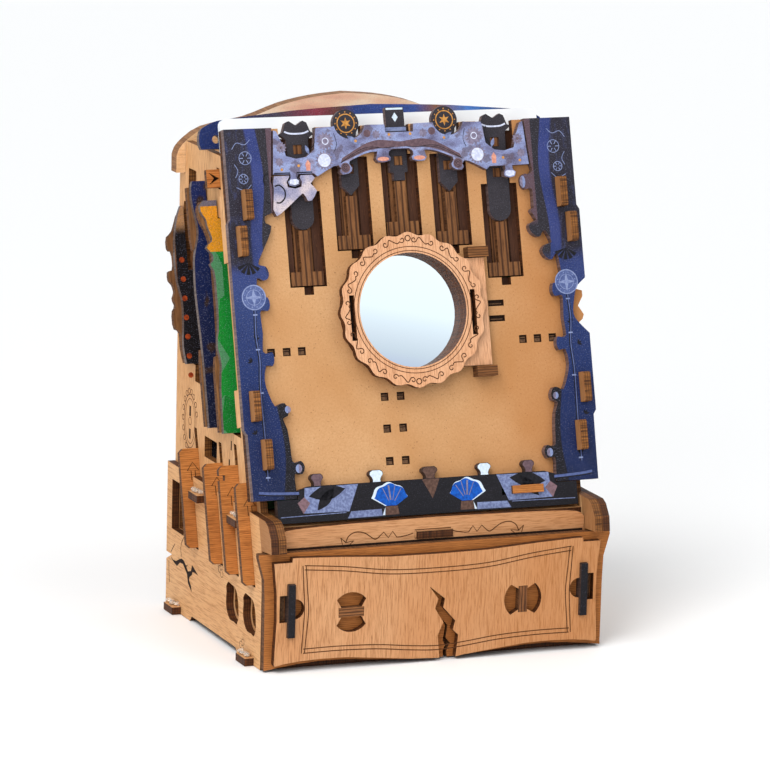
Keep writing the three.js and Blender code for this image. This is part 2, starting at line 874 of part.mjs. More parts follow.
function gripHole(x, turned) {
  const spread = GRIP_HALF_ANGLE;
  const notch = GRIP_BAR_LENGTH / 2 + FIT;
  const halfBar = GRIP_BAR_WIDTH / 2 + FIT;
  const upper = arc(0, 0, GRIP_RADIUS, 90 - spread, 90 + spread, 8);
  const left = [
    [-GRIP_WAIST, halfBar],
    [-notch, halfBar],
    [-notch, -halfBar],
    [-GRIP_WAIST, -halfBar],
  ];
  const turn = ([across, up]) => [-across, -up];
  const outline = [...upper, ...left, ...upper.map(turn), ...left.map(turn)];
  const quarterTurn = ([across, up]) => (turned ? [-up, across] : [across, up]);
  return outline.map(quarterTurn).map(([across, up]) => [x + across, GRIP_HEIGHT + up]);
}

const barInner = BAR_X - BAR_WIDTH / 2 - FIT;
const barOuter = BAR_X + BAR_WIDTH / 2 + FIT;
const barHole = [
  [barInner, BAR_BOTTOM - FIT],
  [barOuter, BAR_BOTTOM - FIT],
  [barOuter, BAR_NOTCH_BOTTOM],
  [BAR_NOTCH_OUT, BAR_NOTCH_BOTTOM],
  [BAR_NOTCH_OUT, BAR_NOTCH_TOP],
  [barOuter, BAR_NOTCH_TOP],
  [barOuter, BAR_TOP + FIT],
  [barInner, BAR_TOP + FIT],
  ...arc(barInner, BAR_ROUND_HEIGHT, BAR_ROUND_RADIUS, 90, 270, 10),
];

const faceFront = frontY - GLUE - PLY;
placeUpright("drawer_front_face", faceOutline, PLY, faceFront, finish(WOOD), [
  gripHole(GRIP_LEFT_X, false),
  gripHole(GRIP_RIGHT_X, true),
  barHole,
  mirrored(barHole),
]);

function gripBar(name, x, turned) {
  const halfLength = GRIP_BAR_LENGTH / 2;
  const halfWidth = GRIP_BAR_WIDTH / 2;
  const [across, up] = turned ? [halfWidth, halfLength] : [halfLength, halfWidth];
  placeUpright(
    name,
    rectangle(x - across, GRIP_HEIGHT - up, x + across, GRIP_HEIGHT + up),
    PLY,
    faceFront,
    finish(BURNT),
  );
}
gripBar("drawer_grip_left", GRIP_LEFT_X, false);
gripBar("drawer_grip_right", GRIP_RIGHT_X, true);

for (const [side, x] of [
  ["left", -BAR_X],
  ["right", BAR_X],
]) {
  placeUpright(
    `drawer_bar_${side}`,
    rectangle(x - BAR_WIDTH / 2, BAR_BOTTOM, x + BAR_WIDTH / 2, BAR_TOP),
    PLY + BAR_PROUD,
    faceFront - BAR_PROUD,
    finish(BLACK),
  );
}

const drawerFloor = FLOOR_THICKNESS + DRAWER_FLOOR_LIFT;
const drawerFront = frontY + PLY + GLUE;
const drawerRear = drawerFront + DRAWER_DEPTH;
const drawerHalf = caseIn - DRAWER_SIDE_GAP;
const drawerInside = drawerHalf - PLY - GLUE;
const sidePlate = () =>
  plate(rectangle(drawerFront, drawerFloor, drawerRear, drawerFloor + DRAWER_SIDE_HEIGHT), PLY);
place(sideways, "drawer_side_left", sidePlate(), finish(WOOD), -drawerHalf);
place(sideways, "drawer_side_right", sidePlate(), finish(WOOD), drawerHalf - PLY);
const drawerBackFront = drawerRear - PLY;
placeUpright(
  "drawer_back",
  rectangle(-drawerInside, drawerFloor, drawerInside, drawerFloor + DRAWER_SIDE_HEIGHT),
  PLY,
  drawerBackFront,
  finish(WOOD),
);
place(
  root,
  "drawer_bottom",
  plate(rectangle(-drawerInside, drawerFront, drawerInside, drawerBackFront - GLUE), PLY),
  finish(WOOD),
  drawerFloor,
);

// Picture boards: a frame between the walls with a wing through each side opening

const frontWingShares = [
  [0.62, 0],
  [0.56, 0.2],
  [0.44, 0.3],
  [0.58, 0.38],
  [0.42, 0.46],
  [0.39, 0.6],
  [0.42, 0.69],
  [0.62, 0.725],
  [0.45, 0.74],
  [0.47, 0.77],
  [0.76, 0.8],
  [0.43, 0.825],
  [0.45, 0.85],
  [0.6, 0.885],
  [0.67, 0.92],
  [0.9, 0.95],
  [0.92, 0.98],
  [0.7, 1],
];
const middleWingShares = [
  [0.86, 0],
  [0.88, 0.3],
  [0.96, 0.46],
  [1, 0.56],
  [0.97, 0.64],
  [0.9, 0.7],
  [0.66, 0.77],
  [0.62, 0.81],
  [0.72, 0.86],
  [0.84, 0.92],
  [0.84, 0.97],
  [0.74, 1],
];
const rearWingShares = [
  [0.5, 0],
  [0.6, 0.12],
  [0.5, 0.25],
  [0.46, 0.4],
  [0.66, 0.52],
  [0.7, 0.66],
  [0.62, 0.8],
  [0.4, 0.93],
  [0.16, 1],
];
const frontBackingShares = [
  [0.72, 0],
  [0.7, 0.3],
  [0.44, 0.36],
  [0.4, 0.7],
  [0.5, 0.84],
  [0.9, 0.92],
  [0.98, 0.97],
  [0.8, 1],
];
const middleBackingShares = [
  [0.94, 0],
  [0.94, 0.3],
  [0.7, 0.34],
  [0.7, 0.7],
  [0.94, 0.76],
  [0.96, 1],
];
const rearBackingShares = [
  [0.5, 0],
  [0.62, 0.1],
  [0.62, 0.2],
  [0.9, 0.23],
  [0.92, 0.33],
  [0.75, 0.37],
  [0.86, 0.42],
  [0.74, 0.46],
  [0.82, 0.51],
  [1, 0.54],
  [0.98, 0.6],
  [0.7, 0.61],
  [0.7, 0.72],
  [0.94, 0.74],
  [0.92, 0.82],
  [0.6, 0.86],
  [0.3, 0.96],
];

const pictureBoards = [
  {
    name: "layer_front",
    offset: LAYER_FRONT_OFFSET,
    wing: frontWingShares,
    wingTop: overBase(FRONT_WING_RISE),
    wingBottom: openingBottom,
    crossTop: openingTop,
    windowHalf: WINDOW_HALVES[0],
    windowBottom: WINDOW_SILLS[0],
    windowSpring: WINDOW_SPRINGS[0],
    color: GREEN,
  },
  {
    name: "layer_middle",
    offset: LAYER_MIDDLE_OFFSET,
    wing: middleWingShares,
    wingTop: overBase(MIDDLE_WING_RISE),
    wingBottom: openingBottom,
    crossTop: openingTop,
    top: MIDDLE_TOP,
    shoulder: MIDDLE_SHOULDER,
    windowHalf: WINDOW_HALVES[1],
    windowBottom: WINDOW_SILLS[1],
    windowSpring: WINDOW_SPRINGS[1],
    color: NAVY,
  },
  {
    name: "layer_rear",
    offset: LAYER_REAR_OFFSET,
    wing: rearWingShares,
    wingTop: overBase(REAR_WING_RISE),
    wingBottom: openingStepHigh,
    crossTop: openingRearTop,
    top: REAR_LAYER_TOP,
    shoulder: REAR_LAYER_SHOULDER,
    windowHalf: WINDOW_HALVES[2],
    windowBottom: WINDOW_SILLS[2],
    windowSpring: WINDOW_SPRINGS[2],
    color: RED,
  },
];
const backings = [frontBackingShares, middleBackingShares, rearBackingShares].map((wing, i) => ({
  wing,
  wingTop: pictureBoards[i].wingTop - BACKING_WING_DROPS[i],
  top: BACKING_TOPS[i],
  shoulder: BACKING_SHOULDERS[i],
}));

const frontArchShares = [
  [0.989, 0],
  [1, 0.17],
  [0.99, 0.46],
  [0.959, 0.58],
  [0.911, 0.68],
  [0.849, 0.735],
  [0.66, 0.82],
  [0.4, 0.92],
  [0, 1],
];

function pictureTop(board) {
  if (board.top === undefined) {
    return [
      [insideHalf, FRONT_ARCH_END],
      ...smooth(
        scaled(frontArchShares, FRONT_ARCH_HALF, FRONT_ARCH_TOP - FRONT_ARCH_END, 0, FRONT_ARCH_END),
        20,
      ),
    ];
  }
  return [
    [insideHalf, board.shoulder],
    [insideHalf / 2, (board.shoulder + board.top) / 2],
    [0, board.top],
  ];
}

function pictureBoard(board) {
  const out = -board.offset * cosTilt;
  const back = out - BOARD;
  const foot = riseAt(deckTop + GAP, back);
  const crossLow = riseAt(board.wingBottom + RUN, back);
  const crossHigh = riseAt(board.crossTop - RUN, out);
  const wingTop = riseAt(board.wingTop, out);
  const wingInside = baseWallIn + GAP;
  const wing = smooth(
    scaled(board.wing, WING_REACH, wingTop - crossLow, baseWallIn, crossLow),
    board.wing.length * 2,
  );
  const right = [
    [insideHalf, foot],
    [insideHalf, crossLow],
    ...wing,
    [wingInside, wingTop],
    [wingInside, crossHigh],
    [insideHalf, crossHigh],
    ...pictureTop(board),
  ];
  const window = [
    [-board.windowHalf, board.windowBottom],
    [board.windowHalf, board.windowBottom],
    ...arc(0, board.windowSpring, board.windowHalf, 0, 180, 18),
  ];
  const holes = [window];
  if (board.top === undefined) {
    holes.push(
      circle(ARCH_EYE_U, ARCH_EYE_V, ARCH_EYE_RADIUS, 10),
      circle(-ARCH_EYE_U, ARCH_EYE_V, ARCH_EYE_RADIUS, 10),
    );
  }
  placeLeaning(board.name, [...right, ...mirrored(right).slice(1)], BOARD, out, finish(board.color), holes);
}

const backingStep = boardDepth + GLUE / cosTilt;
pictureBoards.forEach((board, i) => {
  pictureBoard(board);
  pictureBoard({
    ...board,
    ...backings[i],
    name: `${board.name}_backing`,
    offset: board.offset + backingStep,
    windowSpring: board.windowSpring - BACKING_WINDOW_DROP,
    color: BURNT,
  });
});

// Bar with an arrow cut in each end, through the tops of the case walls

const arrowBarOut = -ARROW_BAR_OFFSET * cosTilt;
const arrowBarLow = riseAt(arrowBarBottom, arrowBarOut - BOARD);
const arrowBarHigh = riseAt(arrowBarTop, arrowBarOut);
const arrowBarMiddle = (arrowBarLow + arrowBarHigh) / 2;
const arrowCut = [
  [caseOut + GAP, arrowBarMiddle],
  [caseOut + GAP + ARROW_CUT_LENGTH, arrowBarMiddle + ARROW_CUT_HALF],
  [caseOut + GAP + ARROW_CUT_LENGTH / 2, arrowBarMiddle],
  [caseOut + GAP + ARROW_CUT_LENGTH, arrowBarMiddle - ARROW_CUT_HALF],
];
placeLeaning(
  "arrow_bar",
  rectangle(-arrowBarHalf, arrowBarLow, arrowBarHalf, arrowBarHigh),
  BOARD,
  arrowBarOut,
  finish(BURNT),
  [arrowCut, mirrored(arrowCut)],
);

// Arrow sliders that rise in the slots of the left wall

const arrowInner = caseIn + GAP;
const mushroomBite = (top) => [
  [-ARROW_OUT, top - MUSHROOM_CAP],
  [-ARROW_OUT + MUSHROOM_BITE, top - MUSHROOM_CAP],
  [-ARROW_OUT + MUSHROOM_BITE, top - MUSHROOM_CAP - MUSHROOM_NECK],
  [-ARROW_OUT, top - MUSHROOM_CAP - MUSHROOM_NECK],
];
arrowOffsets.forEach((offset, i) => {
  const out = -offset * cosTilt;
  const bottom = riseAt(arrowBottom, out - BOARD);
  const top = riseAt(arrowTops[i], out);
  placeLeaning(
    `arrow_slider_${i + 1}`,
    [
      [-ARROW_OUT + ARROW_CHAMFER, bottom],
      [-arrowInner, bottom],
      [-arrowInner, top],
      [-halfBase, top],
      [-ARROW_OUT + ARROW_CHAMFER, top],
      [-ARROW_OUT, top - ARROW_CHAMFER],
      ...(arrowTops[i] === mushroomTop ? mushroomBite(top) : []),
      [-ARROW_OUT, bottom + ARROW_CHAMFER],
    ],
    BOARD,
    out,
    finish(BURNT),
  );
});

// Sliders of the front panel, numbered from the left

const brimHead = {
  notchBottom: 140.7,
  notchHalf: 8.3,
  shares: [
    [0.64, 0.5],
    [0.72, 0.56],
    [1, 0.66],
    [0.8, 0.72],
    [0.62, 0.95],
    [0.4, 1],
    [0, 0.88],
  ],
  half: 7.7,
  top: 157,
};
const discHead = { notchBottom: 148.6, notchHalf: 6.4, radius: 5.8, middle: 155.2 };
const squareHead = {
  notchBottom: 150.2,
  notchHalf: 5.7,
  shares: [
    [1, 0.05],
    [1, 0.26],
    [0.8, 0.28],
    [0.8, 1],
    [0, 1],
  ],
  half: 5.2,
  top: 161.2,
};

const brimSlider = {
  head: brimHead,
  bottom: 87.5,
  top: 127.3,
  tongue: 111.5,
  tongueHalf: 4.9,
  end: "round",
  pegs: [132, 145],
};
const discSlider = {
  head: discHead,
  bottom: 101.8,
  top: 141,
  tongue: 125,
  tongueHalf: 3.95,
  end: "pointed",
  pegs: [136],
};
const squareSlider = {
  head: squareHead,
  bottom: 106.7,
  top: 141.4,
  tongue: 130.4,
  tongueHalf: 3.95,
  end: "stepped",
  pegs: [138.7],
};
const sliders = [brimSlider, discSlider, squareSlider, discSlider, brimSlider];
const channelAt = (i) => (i - (sliders.length - 1) / 2) * CHANNEL_PITCH;

// Right half of a slider's outline, from the end of its tongue up
function tongueEnd(slider) {
  const half = slider.tongueHalf;
  if (slider.end === "round") {
    return arc(0, slider.tongue + half, half, -90, 0, 6);
  }
  if (slider.end === "pointed") {
    return [
      [0, slider.tongue],
      [half, slider.tongue + half],
    ];
  }
  return [
    [0, slider.tongue],
    [half * 0.64, slider.tongue],
    [half * 0.64, slider.tongue + half * 0.8],
    [half, slider.tongue + half * 0.9],
  ];
}

function headOutline(head) {
  if (head.radius !== undefined) {
    return arc(0, head.middle, head.radius, -40, 90, 14);
  }
  return scaled(head.shares, head.half, head.top - head.notchBottom, 0, head.notchBottom);
}

function sliderOutline(slider) {
  const neck = [slider.tongueHalf, slider.head.notchBottom];
  const right = [...tongueEnd(slider), neck, ...headOutline(slider.head)];
  return [...right, ...mirrored(right).slice(1, -1)];
}

const shifted = (points, u) => points.map(([x, y]) => [x + u, y]);
const square = (middle, half) => rectangle(-half, middle - half, half, middle + half);

const carriageFront = boardFront - CARRIAGE_RECESS;
const spineFront = boardBack;
const spineBack = spineFront - PLY;

function carriage(slider) {
  const low = slider.bottom + CARRIAGE_LIFT;
  const highPeg = Math.max(...slider.pegs);
  const peg = TENON_SQUARE / 2 - FIT;
  const parts = [
    block(
      -CARRIAGE_SPINE_WIDTH / 2,
      low,
      spineBack,
      CARRIAGE_SPINE_WIDTH / 2,
      highPeg + TENON_SQUARE,
      spineFront,
    ),
    block(
      -CARRIAGE_BLOCK_WIDTH / 2,
      low,
      spineFront - GAP,
      CARRIAGE_BLOCK_WIDTH / 2,
      low + CARRIAGE_BLOCK,
      carriageFront,
    ),
    block(
      -CARRIAGE_ROD_WIDTH / 2,
      low + CARRIAGE_BLOCK / 2,
      spineFront - GAP,
      CARRIAGE_ROD_WIDTH / 2,
      slider.tongue - GAP,
      carriageFront,
    ),
    ...slider.pegs.map((middle) =>
      block(-peg, middle - peg, spineFront - GAP, peg, middle + peg, carriageFront),
    ),
  ];
  return joined(parts);
}

const sliderFront = boardFront - GAP;
sliders.forEach((slider, i) => {
  const u = channelAt(i);
  placeLeaning(
    `slider_${i + 1}`,
    shifted(sliderOutline(slider), u),
    PLY - 2 * GAP,
    sliderFront,
    finish(CHARCOAL),
    slider.pegs.map((middle) => shifted(square(middle, TENON_SQUARE / 2), u)),
  );
  place(leaning, `slider_${i + 1}_carriage`, carriage(slider).translate(u, 0, 0), finish(BURNT));
});

// Tan board with the five channels open at its top

function channelCut(slider, u) {
  const half = CHANNEL_WIDTH / 2;
  const neck = slider.tongueHalf + RUN;
  const notch = CHANNEL_NOTCH_WIDTH / 2;
  const right = [
    [slider.head.notchHalf, PANEL_HEIGHT],
    [slider.head.notchHalf, slider.head.notchBottom],
    [neck, slider.head.notchBottom],
    [neck, slider.top],
    [half, slider.top],
    [half, slider.bottom],
    [notch, slider.bottom],
    [notch, slider.bottom - CHANNEL_NOTCH_DEPTH],
  ];
  return shifted([...right, ...mirrored(right)], u);
}

// The right edge has a bite with a bow-shaped tongue in it
const biteShares = [
  [0.98, 0],
  [0.945, 0.16],
  [0.985, 0.26],
  [0.995, 0.34],
  [0.965, 0.5],
  [0.995, 0.66],
  [0.995, 0.76],
  [0.955, 0.8],
  [0.945, 0.86],
  [0.98, 1],
];
const BITE_BOTTOM = 61.8;
const BITE_HEIGHT = 24.2;
const boardHalf = panelHalf - BOARD_INSET;
const boardTopCuts = sliders
  .flatMap((slider, i) => channelCut(slider, channelAt(i)).reverse())
  .reverse();
const boardOutline = [
  [-boardHalf, GAP],
  [boardHalf, GAP],
  ...scaled(biteShares, panelHalf, BITE_HEIGHT, 0, BITE_BOTTOM),
  [boardHalf, PANEL_HEIGHT],
  ...boardTopCuts,
  [-boardHalf, PANEL_HEIGHT],
];

function tenonHoles(side) {
  const caseMiddle = side * (caseIn + PLY / 2);
  const braceMiddle = side * (baseWallIn + PLY / 2);
  const half = PLY / 2 + FIT;
  const hole = (u, low) => rectangle(u - half, low - FIT, u + half, low + TENON_LENGTH + FIT);
  return [
    hole(caseMiddle, INNER_TENON_LOW),
    hole(caseMiddle, INNER_TENON_HIGH),
    hole(braceMiddle, OUTER_TENON_LOW),
    hole(braceMiddle, OUTER_TENON_HIGH),
  ];
}

const hingeSlotLeft = HINGE_U - HINGE_SLOT_INWARD;
const hingeSlotRight = HINGE_U + HINGE_SLOT_OUTWARD;
const PEEP_COLUMNS = [50, 56.7, 63.6];
const PEEP_PAIR_COLUMNS = [-14.8, -7.6];
const PEEP_PAIR_ROWS = [13.2, 26.8, 40.1];
const SLOT_ROWS = [70.3, 76.8];
const peep = (u, v) => shifted(square(v, PEEP_SIZE / 2), u);

placeLeaning("front_panel_board", boardOutline, PLY, boardFront, finish(TAN), [
  ...tenonHoles(-1),
  ...tenonHoles(1),
  circle(MIRROR_U, MIRROR_V, GLASS_RADIUS + GLASS_CLEARANCE, 40),
  rectangle(hingeSlotLeft, PLATE_BOTTOM - GAP, hingeSlotRight, PLATE_TOP + GAP),
  ...PEEP_COLUMNS.flatMap((u) => [peep(u, PEEP_ROW_V), peep(-u, PEEP_ROW_V)]),
  ...PEEP_PAIR_COLUMNS.flatMap((u) => PEEP_PAIR_ROWS.map((v) => peep(u, v))),
  ...SLOT_ROWS.map((v) => rectangle(SLOT_LEFT, v - SLOT_HEIGHT / 2, SLOT_RIGHT, v + SLOT_HEIGHT / 2)),
]);

// Board behind the channels, slotted for the spines of the carriages
const spineSlot = CARRIAGE_SPINE_WIDTH / 2 + RUN;
const backCuts = sliders
  .flatMap((slider, i) => {
    const u = channelAt(i);
    const low = slider.bottom + CARRIAGE_LIFT - RUN;
    return [
      [u - spineSlot, CHANNEL_BACK_TOP],
      [u - spineSlot, low],
      [u + spineSlot, low],
      [u + spineSlot, CHANNEL_BACK_TOP],
    ];
  })
  .reverse();
placeLeaning(
  "channel_back_board",
  [
    [-CHANNEL_BACK_HALF, CHANNEL_BACK_BOTTOM],
    [CHANNEL_BACK_HALF, CHANNEL_BACK_BOTTOM],
    [CHANNEL_BACK_HALF, CHANNEL_BACK_TOP],
    ...backCuts,
    [-CHANNEL_BACK_HALF, CHANNEL_BACK_TOP],
  ],
  PLY,
  channelFront,
  finish(BURNT),
);

// Borders: the inner edge is listed from the top down, as shares of the panel

const leftEdgeShares = [
  [0.718, 1],
  [0.738, 0.877],
  [0.747, 0.857],
  [0.738, 0.838],
  [0.748, 0.779],
  [0.752, 0.77],
  [0.792, 0.762],
  [0.79, 0.743],
  [0.76, 0.735],
  [0.786, 0.699],
  [0.845, 0.644],
  [0.841, 0.631],
  [0.809, 0.627],
  [0.795, 0.61],
  [0.804, 0.594],
  [0.831, 0.59],
  [0.864, 0.597],
];
const rightEdgeShares = [
  [0.718, 1],
  [0.738, 0.877],
  [0.747, 0.858],
  [0.723, 0.846],
  [0.7, 0.848],
  [0.681, 0.84],
  [0.676, 0.827],
  [0.683, 0.812],
  [0.699, 0.805],
  [0.716, 0.808],
  [0.736, 0.803],
  [0.735, 0.76],
  [0.735, 0.753],
  [0.716, 0.745],
  [0.746, 0.72],
  [0.708, 0.711],
  [0.699, 0.7],
  [0.713, 0.684],
  [0.745, 0.673],
  [0.764, 0.677],
  [0.777, 0.689],
  [0.795, 0.687],
  [0.823, 0.657],
  [0.789, 0.651],
  [0.763, 0.636],
  [0.782, 0.616],
  [0.816, 0.609],
  [0.837, 0.624],
  [0.852, 0.622],
  [0.86, 0.59],
];
const lowerEdgeShares = [
  [0.866, 0.552],
  [0.838, 0.543],
  [0.812, 0.544],
  [0.803, 0.523],
  [0.816, 0.508],
  [0.844, 0.51],
  [0.861, 0.503],
  [0.855, 0.448],
  [0.863, 0.4],
  [0.835, 0.394],
  [0.811, 0.396],
  [0.802, 0.377],
  [0.815, 0.359],
  [0.851, 0.361],
  [0.865, 0.321],
  [0.85, 0.286],
  [0.821, 0.251],
  [0.793, 0.256],
  [0.766, 0.258],
  [0.747, 0.241],
  [0.753, 0.223],
  [0.781, 0.216],
  [0.762, 0.188],
  [0.753, 0.143],
  [0.748, 0.102],
  [0.724, 0.097],
  [0.7, 0.101],
  [0.681, 0.085],
  [0.698, 0.065],
  [0.739, 0.067],
  [0.74, 0.035],
  [0.737, 0],
];
const stepShares = [
  [0.98, 0],
  [0.984, 0.178],
  [1, 0.19],
];
const stepTopShares = [
  [1, 0.745],
  [0.985, 0.757],
  [0.985, 1],
];
const borderBiteShares = [
  [1, 0],
  [0.936, 0.22],
  [0.916, 0.35],
  [0.919, 0.5],
  [0.936, 0.74],
  [0.953, 0.85],
  [0.996, 0.965],
  [1, 1],
];
const innerEdge = (upperShares) => {
  const points = scaled([...upperShares, ...lowerEdgeShares], panelHalf, PANEL_HEIGHT);
  return smooth(points, 2 * (points.length - 1));
};
const outerBottom = scaled(stepShares, panelHalf, PANEL_HEIGHT);
const outerTop = scaled(stepTopShares, panelHalf, PANEL_HEIGHT);
const bite = smooth(scaled(borderBiteShares, panelHalf, BITE_HEIGHT, 0, BITE_BOTTOM), 14);
const borderPlain = [...outerBottom, ...outerTop, ...innerEdge(leftEdgeShares)];
const borderBitten = [...outerBottom, ...bite, ...outerTop, ...innerEdge(rightEdgeShares)];
placeLeaning("border_left", mirrored(borderPlain), PLY, 0, finish(BLUE), tenonHoles(-1));
placeLeaning("border_right", borderBitten, PLY, 0, finish(BLUE), tenonHoles(1));

// Top band with a bay for each slider's head

const bandTopShares = [
  [0.709, 0.993],
  [0.693, 0.99],
  [0.668, 0.96],
  [0.648, 0.922],
  [0.592, 0.914],
  [0.536, 0.918],
  [0.488, 0.937],
  [0.474, 0.99],
  [0.468, 0.996],
  [0.384, 0.997],
];
const bandMiddleShares = [
  [0.18, 0.999],
  [0.082, 0.998],
  [0.078, 0.976],
  [0, 0.976],
];
const bandLowerShares = [
  [0, 0.931],
  [0.048, 0.931],
  [0.067, 0.924],
  [0.071, 0.914],
  [0.059, 0.907],
  [0.064, 0.899],
  [0.098, 0.895],
  [0.132, 0.896],
  [0.145, 0.905],
  [0.139, 0.914],
  [0.134, 0.925],
  [0.165, 0.925],
  [0.208, 0.92],
  [0.254, 0.911],
  [0.294, 0.902],
  [0.297, 0.894],
  [0.282, 0.883],
  [0.286, 0.875],
  [0.305, 0.868],
  [0.339, 0.866],
  [0.353, 0.874],
  [0.345, 0.883],
  [0.358, 0.892],
  [0.384, 0.89],
  [0.435, 0.877],
  [0.481, 0.864],
  [0.501, 0.873],
  [0.588, 0.873],
  [0.592, 0.864],
  [0.579, 0.855],
  [0.583, 0.844],
  [0.611, 0.839],
  [0.641, 0.843],
  [0.649, 0.854],
  [0.632, 0.862],
  [0.631, 0.873],
  [0.728, 0.874],
];
const discBay = arc(CHANNEL_PITCH, discHead.middle, discHead.radius + BAY_CLEARANCE, -12, -168, 12);
const bandRight = [
  ...scaled(bandLowerShares, panelHalf, PANEL_HEIGHT),
  ...scaled(bandTopShares, panelHalf, PANEL_HEIGHT),
  ...discBay,
  ...scaled(bandMiddleShares, panelHalf, PANEL_HEIGHT),
];
placeLeaning(
  "border_top",
  [...bandRight, ...mirrored(bandRight).slice(1, -1)],
  PLY,
  0,
  finish(GREY_BLUE),
);

// Loose jigsaw piece kept in the upper left corner

const cornerShares = [
  [0.512, 0.869],
  [0.575, 0.869],
  [0.581, 0.863],
  [0.571, 0.852],
  [0.575, 0.838],
  [0.609, 0.8335],
  [0.65, 0.8375],
  [0.657, 0.852],
  [0.641, 0.8645],
  [0.64, 0.869],
  [0.724, 0.869],
  [0.732, 0.85],
  [0.73, 0.835],
  [0.742, 0.779],
  [0.725, 0.761],
  [0.703, 0.767],
  [0.649, 0.788],
  [0.589, 0.8135],
  [0.57, 0.82],
  [0.556, 0.811],
  [0.545, 0.799],
  [0.524, 0.7995],
  [0.505, 0.811],
  [0.491, 0.825],
  [0.506, 0.8365],
  [0.523, 0.845],
  [0.497, 0.861],
];
placeLeaning(
  "corner_piece",
  mirrored(scaled(cornerShares, panelHalf, PANEL_HEIGHT)),
  PLY,
  0,
  finish(GREY_BLUE),
);

// Skirt with five knobs and a peg

const KNOB_PLACES = [
  [46.1, SMALL_KNOB],
  [25.9, LARGE_KNOB],
  [1.3, MIDDLE_KNOB],
  [-22.8, LARGE_KNOB],
  [-49.2, SMALL_KNOB],
];
const knobShares = [
  [0.62, 0],
  [0.58, 0.2],
  [0.7, 0.4],
  [1, 0.64],
  [0.94, 0.84],
  [0.6, 1],
];
function knob([u, width]) {
  const right = scaled(knobShares, width / 2, KNOB_HEIGHT, 0, SKIRT_RISE);
  return shifted([...right, ...mirrored(right)], u);
}
placeLeaning(
  "skirt_board",
  [
    [-SKIRT_HALF, -SKIRT_DROP],
    [SKIRT_HALF, -SKIRT_DROP],
    [SKIRT_HALF, -GAP],
    [SKIRT_RISE_HALF, -GAP],
    [SKIRT_RISE_HALF, SKIRT_RISE * 0.7],
    [SKIRT_RISE_HALF - SKIRT_RISE, SKIRT_RISE],
    ...KNOB_PLACES.flatMap(knob),
    [SKIRT_RISE - SKIRT_RISE_HALF, SKIRT_RISE],
    [-SKIRT_RISE_HALF, SKIRT_RISE * 0.7],
    [-SKIRT_RISE_HALF, -GAP],
    [-SKIRT_HALF, -GAP],
  ],
  PLY,
  0,
  finish(CHARCOAL),
  [rectangle(PEG_SLOT_LEFT, PEG_BOTTOM - FIT, PEG_RIGHT + FIT, PEG_TOP + FIT)],
);
place(
  leaning,
  "skirt_peg",
  block(PEG_LEFT, PEG_BOTTOM, -PLY, PEG_RIGHT, PEG_TOP, PEG_PROUD),
  finish(BURNT),
);

// Pale strip across the top, resting on the walls

const stripOut = -STRIP_OFFSET * cosTilt;
const stripRound = (STRIP_TOP - STRIP_BOTTOM) / 5;
placeLeaning(
  "top_strip",
  [
    [-STRIP_HALF, STRIP_BOTTOM],
    [STRIP_HALF, STRIP_BOTTOM],
    ...arc(STRIP_HALF - stripRound, STRIP_TOP - stripRound, stripRound, 0, 90, 4),
    ...arc(stripRound - STRIP_HALF, STRIP_TOP - stripRound, stripRound, 90, 180, 4),
  ],
  STRIP_THICKNESS,
  stripOut,
  finish(ACRYLIC, 0.2),
);

// Mirror door on two brackets

const lobed = [];
const ringSteps = RING_LOBES * 6;
for (let i = 0; i < ringSteps; i++) {
  const angle = (2 * Math.PI * i) / ringSteps;
  const radius = RING_RADIUS + RING_LOBE * Math.cos(RING_LOBES * angle);
  lobed.push([MIRROR_U + radius * Math.cos(angle), MIRROR_V + radius * Math.sin(angle)]);
}
const slit = (u) =>
  rectangle(
    MIRROR_U + u - RING_SLIT_WIDTH / 2,
    MIRROR_V - RING_SLIT_DROP - RING_SLIT_LENGTH / 2,
    MIRROR_U + u + RING_SLIT_WIDTH / 2,
    MIRROR_V - RING_SLIT_DROP + RING_SLIT_LENGTH / 2,
  );
placeLeaning("mirror_ring", lobed, PLY, PLY + GLUE, finish(WOOD), [
  circle(MIRROR_U, MIRROR_V, MIRROR_RADIUS, 48),
  slit(-RING_SLIT_U),
  slit(RING_SLIT_U),
]);

const plateAngle = THREE.MathUtils.radToDeg(Math.asin((PLATE_TOP - MIRROR_V) / PLATE_RADIUS));
const plateDrop = THREE.MathUtils.radToDeg(Math.asin((MIRROR_V - PLATE_BOTTOM) / PLATE_RADIUS));
const plateEdge = HINGE_U + PLATE_PAST_HINGE;
placeLeaning(
  "mirror_plate",
  [
    [plateEdge, PLATE_BOTTOM],
    [plateEdge, PLATE_TOP],
    ...arc(MIRROR_U, MIRROR_V, PLATE_RADIUS, plateAngle, 360 - plateDrop, 40),
  ],
  PLY,
  0,
  finish(WOOD),
  [circle(MIRROR_U, MIRROR_V, MIRROR_RADIUS, 48)],
);
placeLeaning(
  "mirror_glass",
  circle(MIRROR_U, MIRROR_V, GLASS_RADIUS, 48),
  GLASS_THICKNESS,
  -PLY - GLUE,
  finish(MIRROR, 0.05, 1),
);

const bracket = (bottom) =>
  block(
    HINGE_U - BRACKET_INWARD,
    bottom,
    boardFront + GLUE,
    HINGE_U + BRACKET_OUTWARD,
    bottom + BRACKET_HEIGHT,
    BRACKET_PROUD,
  );
place(leaning, "hinge_bracket_top", bracket(PLATE_TOP + GAP), finish(BURNT));
place(leaning, "hinge_bracket_bottom", bracket(PLATE_BOTTOM - GAP - BRACKET_HEIGHT), finish(BURNT));

export default root;
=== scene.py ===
# %% [markdown]
# # A wooden puzzle box with a drawer
# The real box is glued up from laser-cut sheets: birch plywood for the base, the case and the drawer,
# tan fibreboard for the leaning panel, and printed boards for the borders and the pictures between the
# walls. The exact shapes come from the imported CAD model. This lesson is about the looks: how sheet wood,
# burnt edges, prints and fine engraving can be made, and why each way was chosen.

import math
import random

import bmesh
import bpy
from mathutils import Matrix, Vector, noise


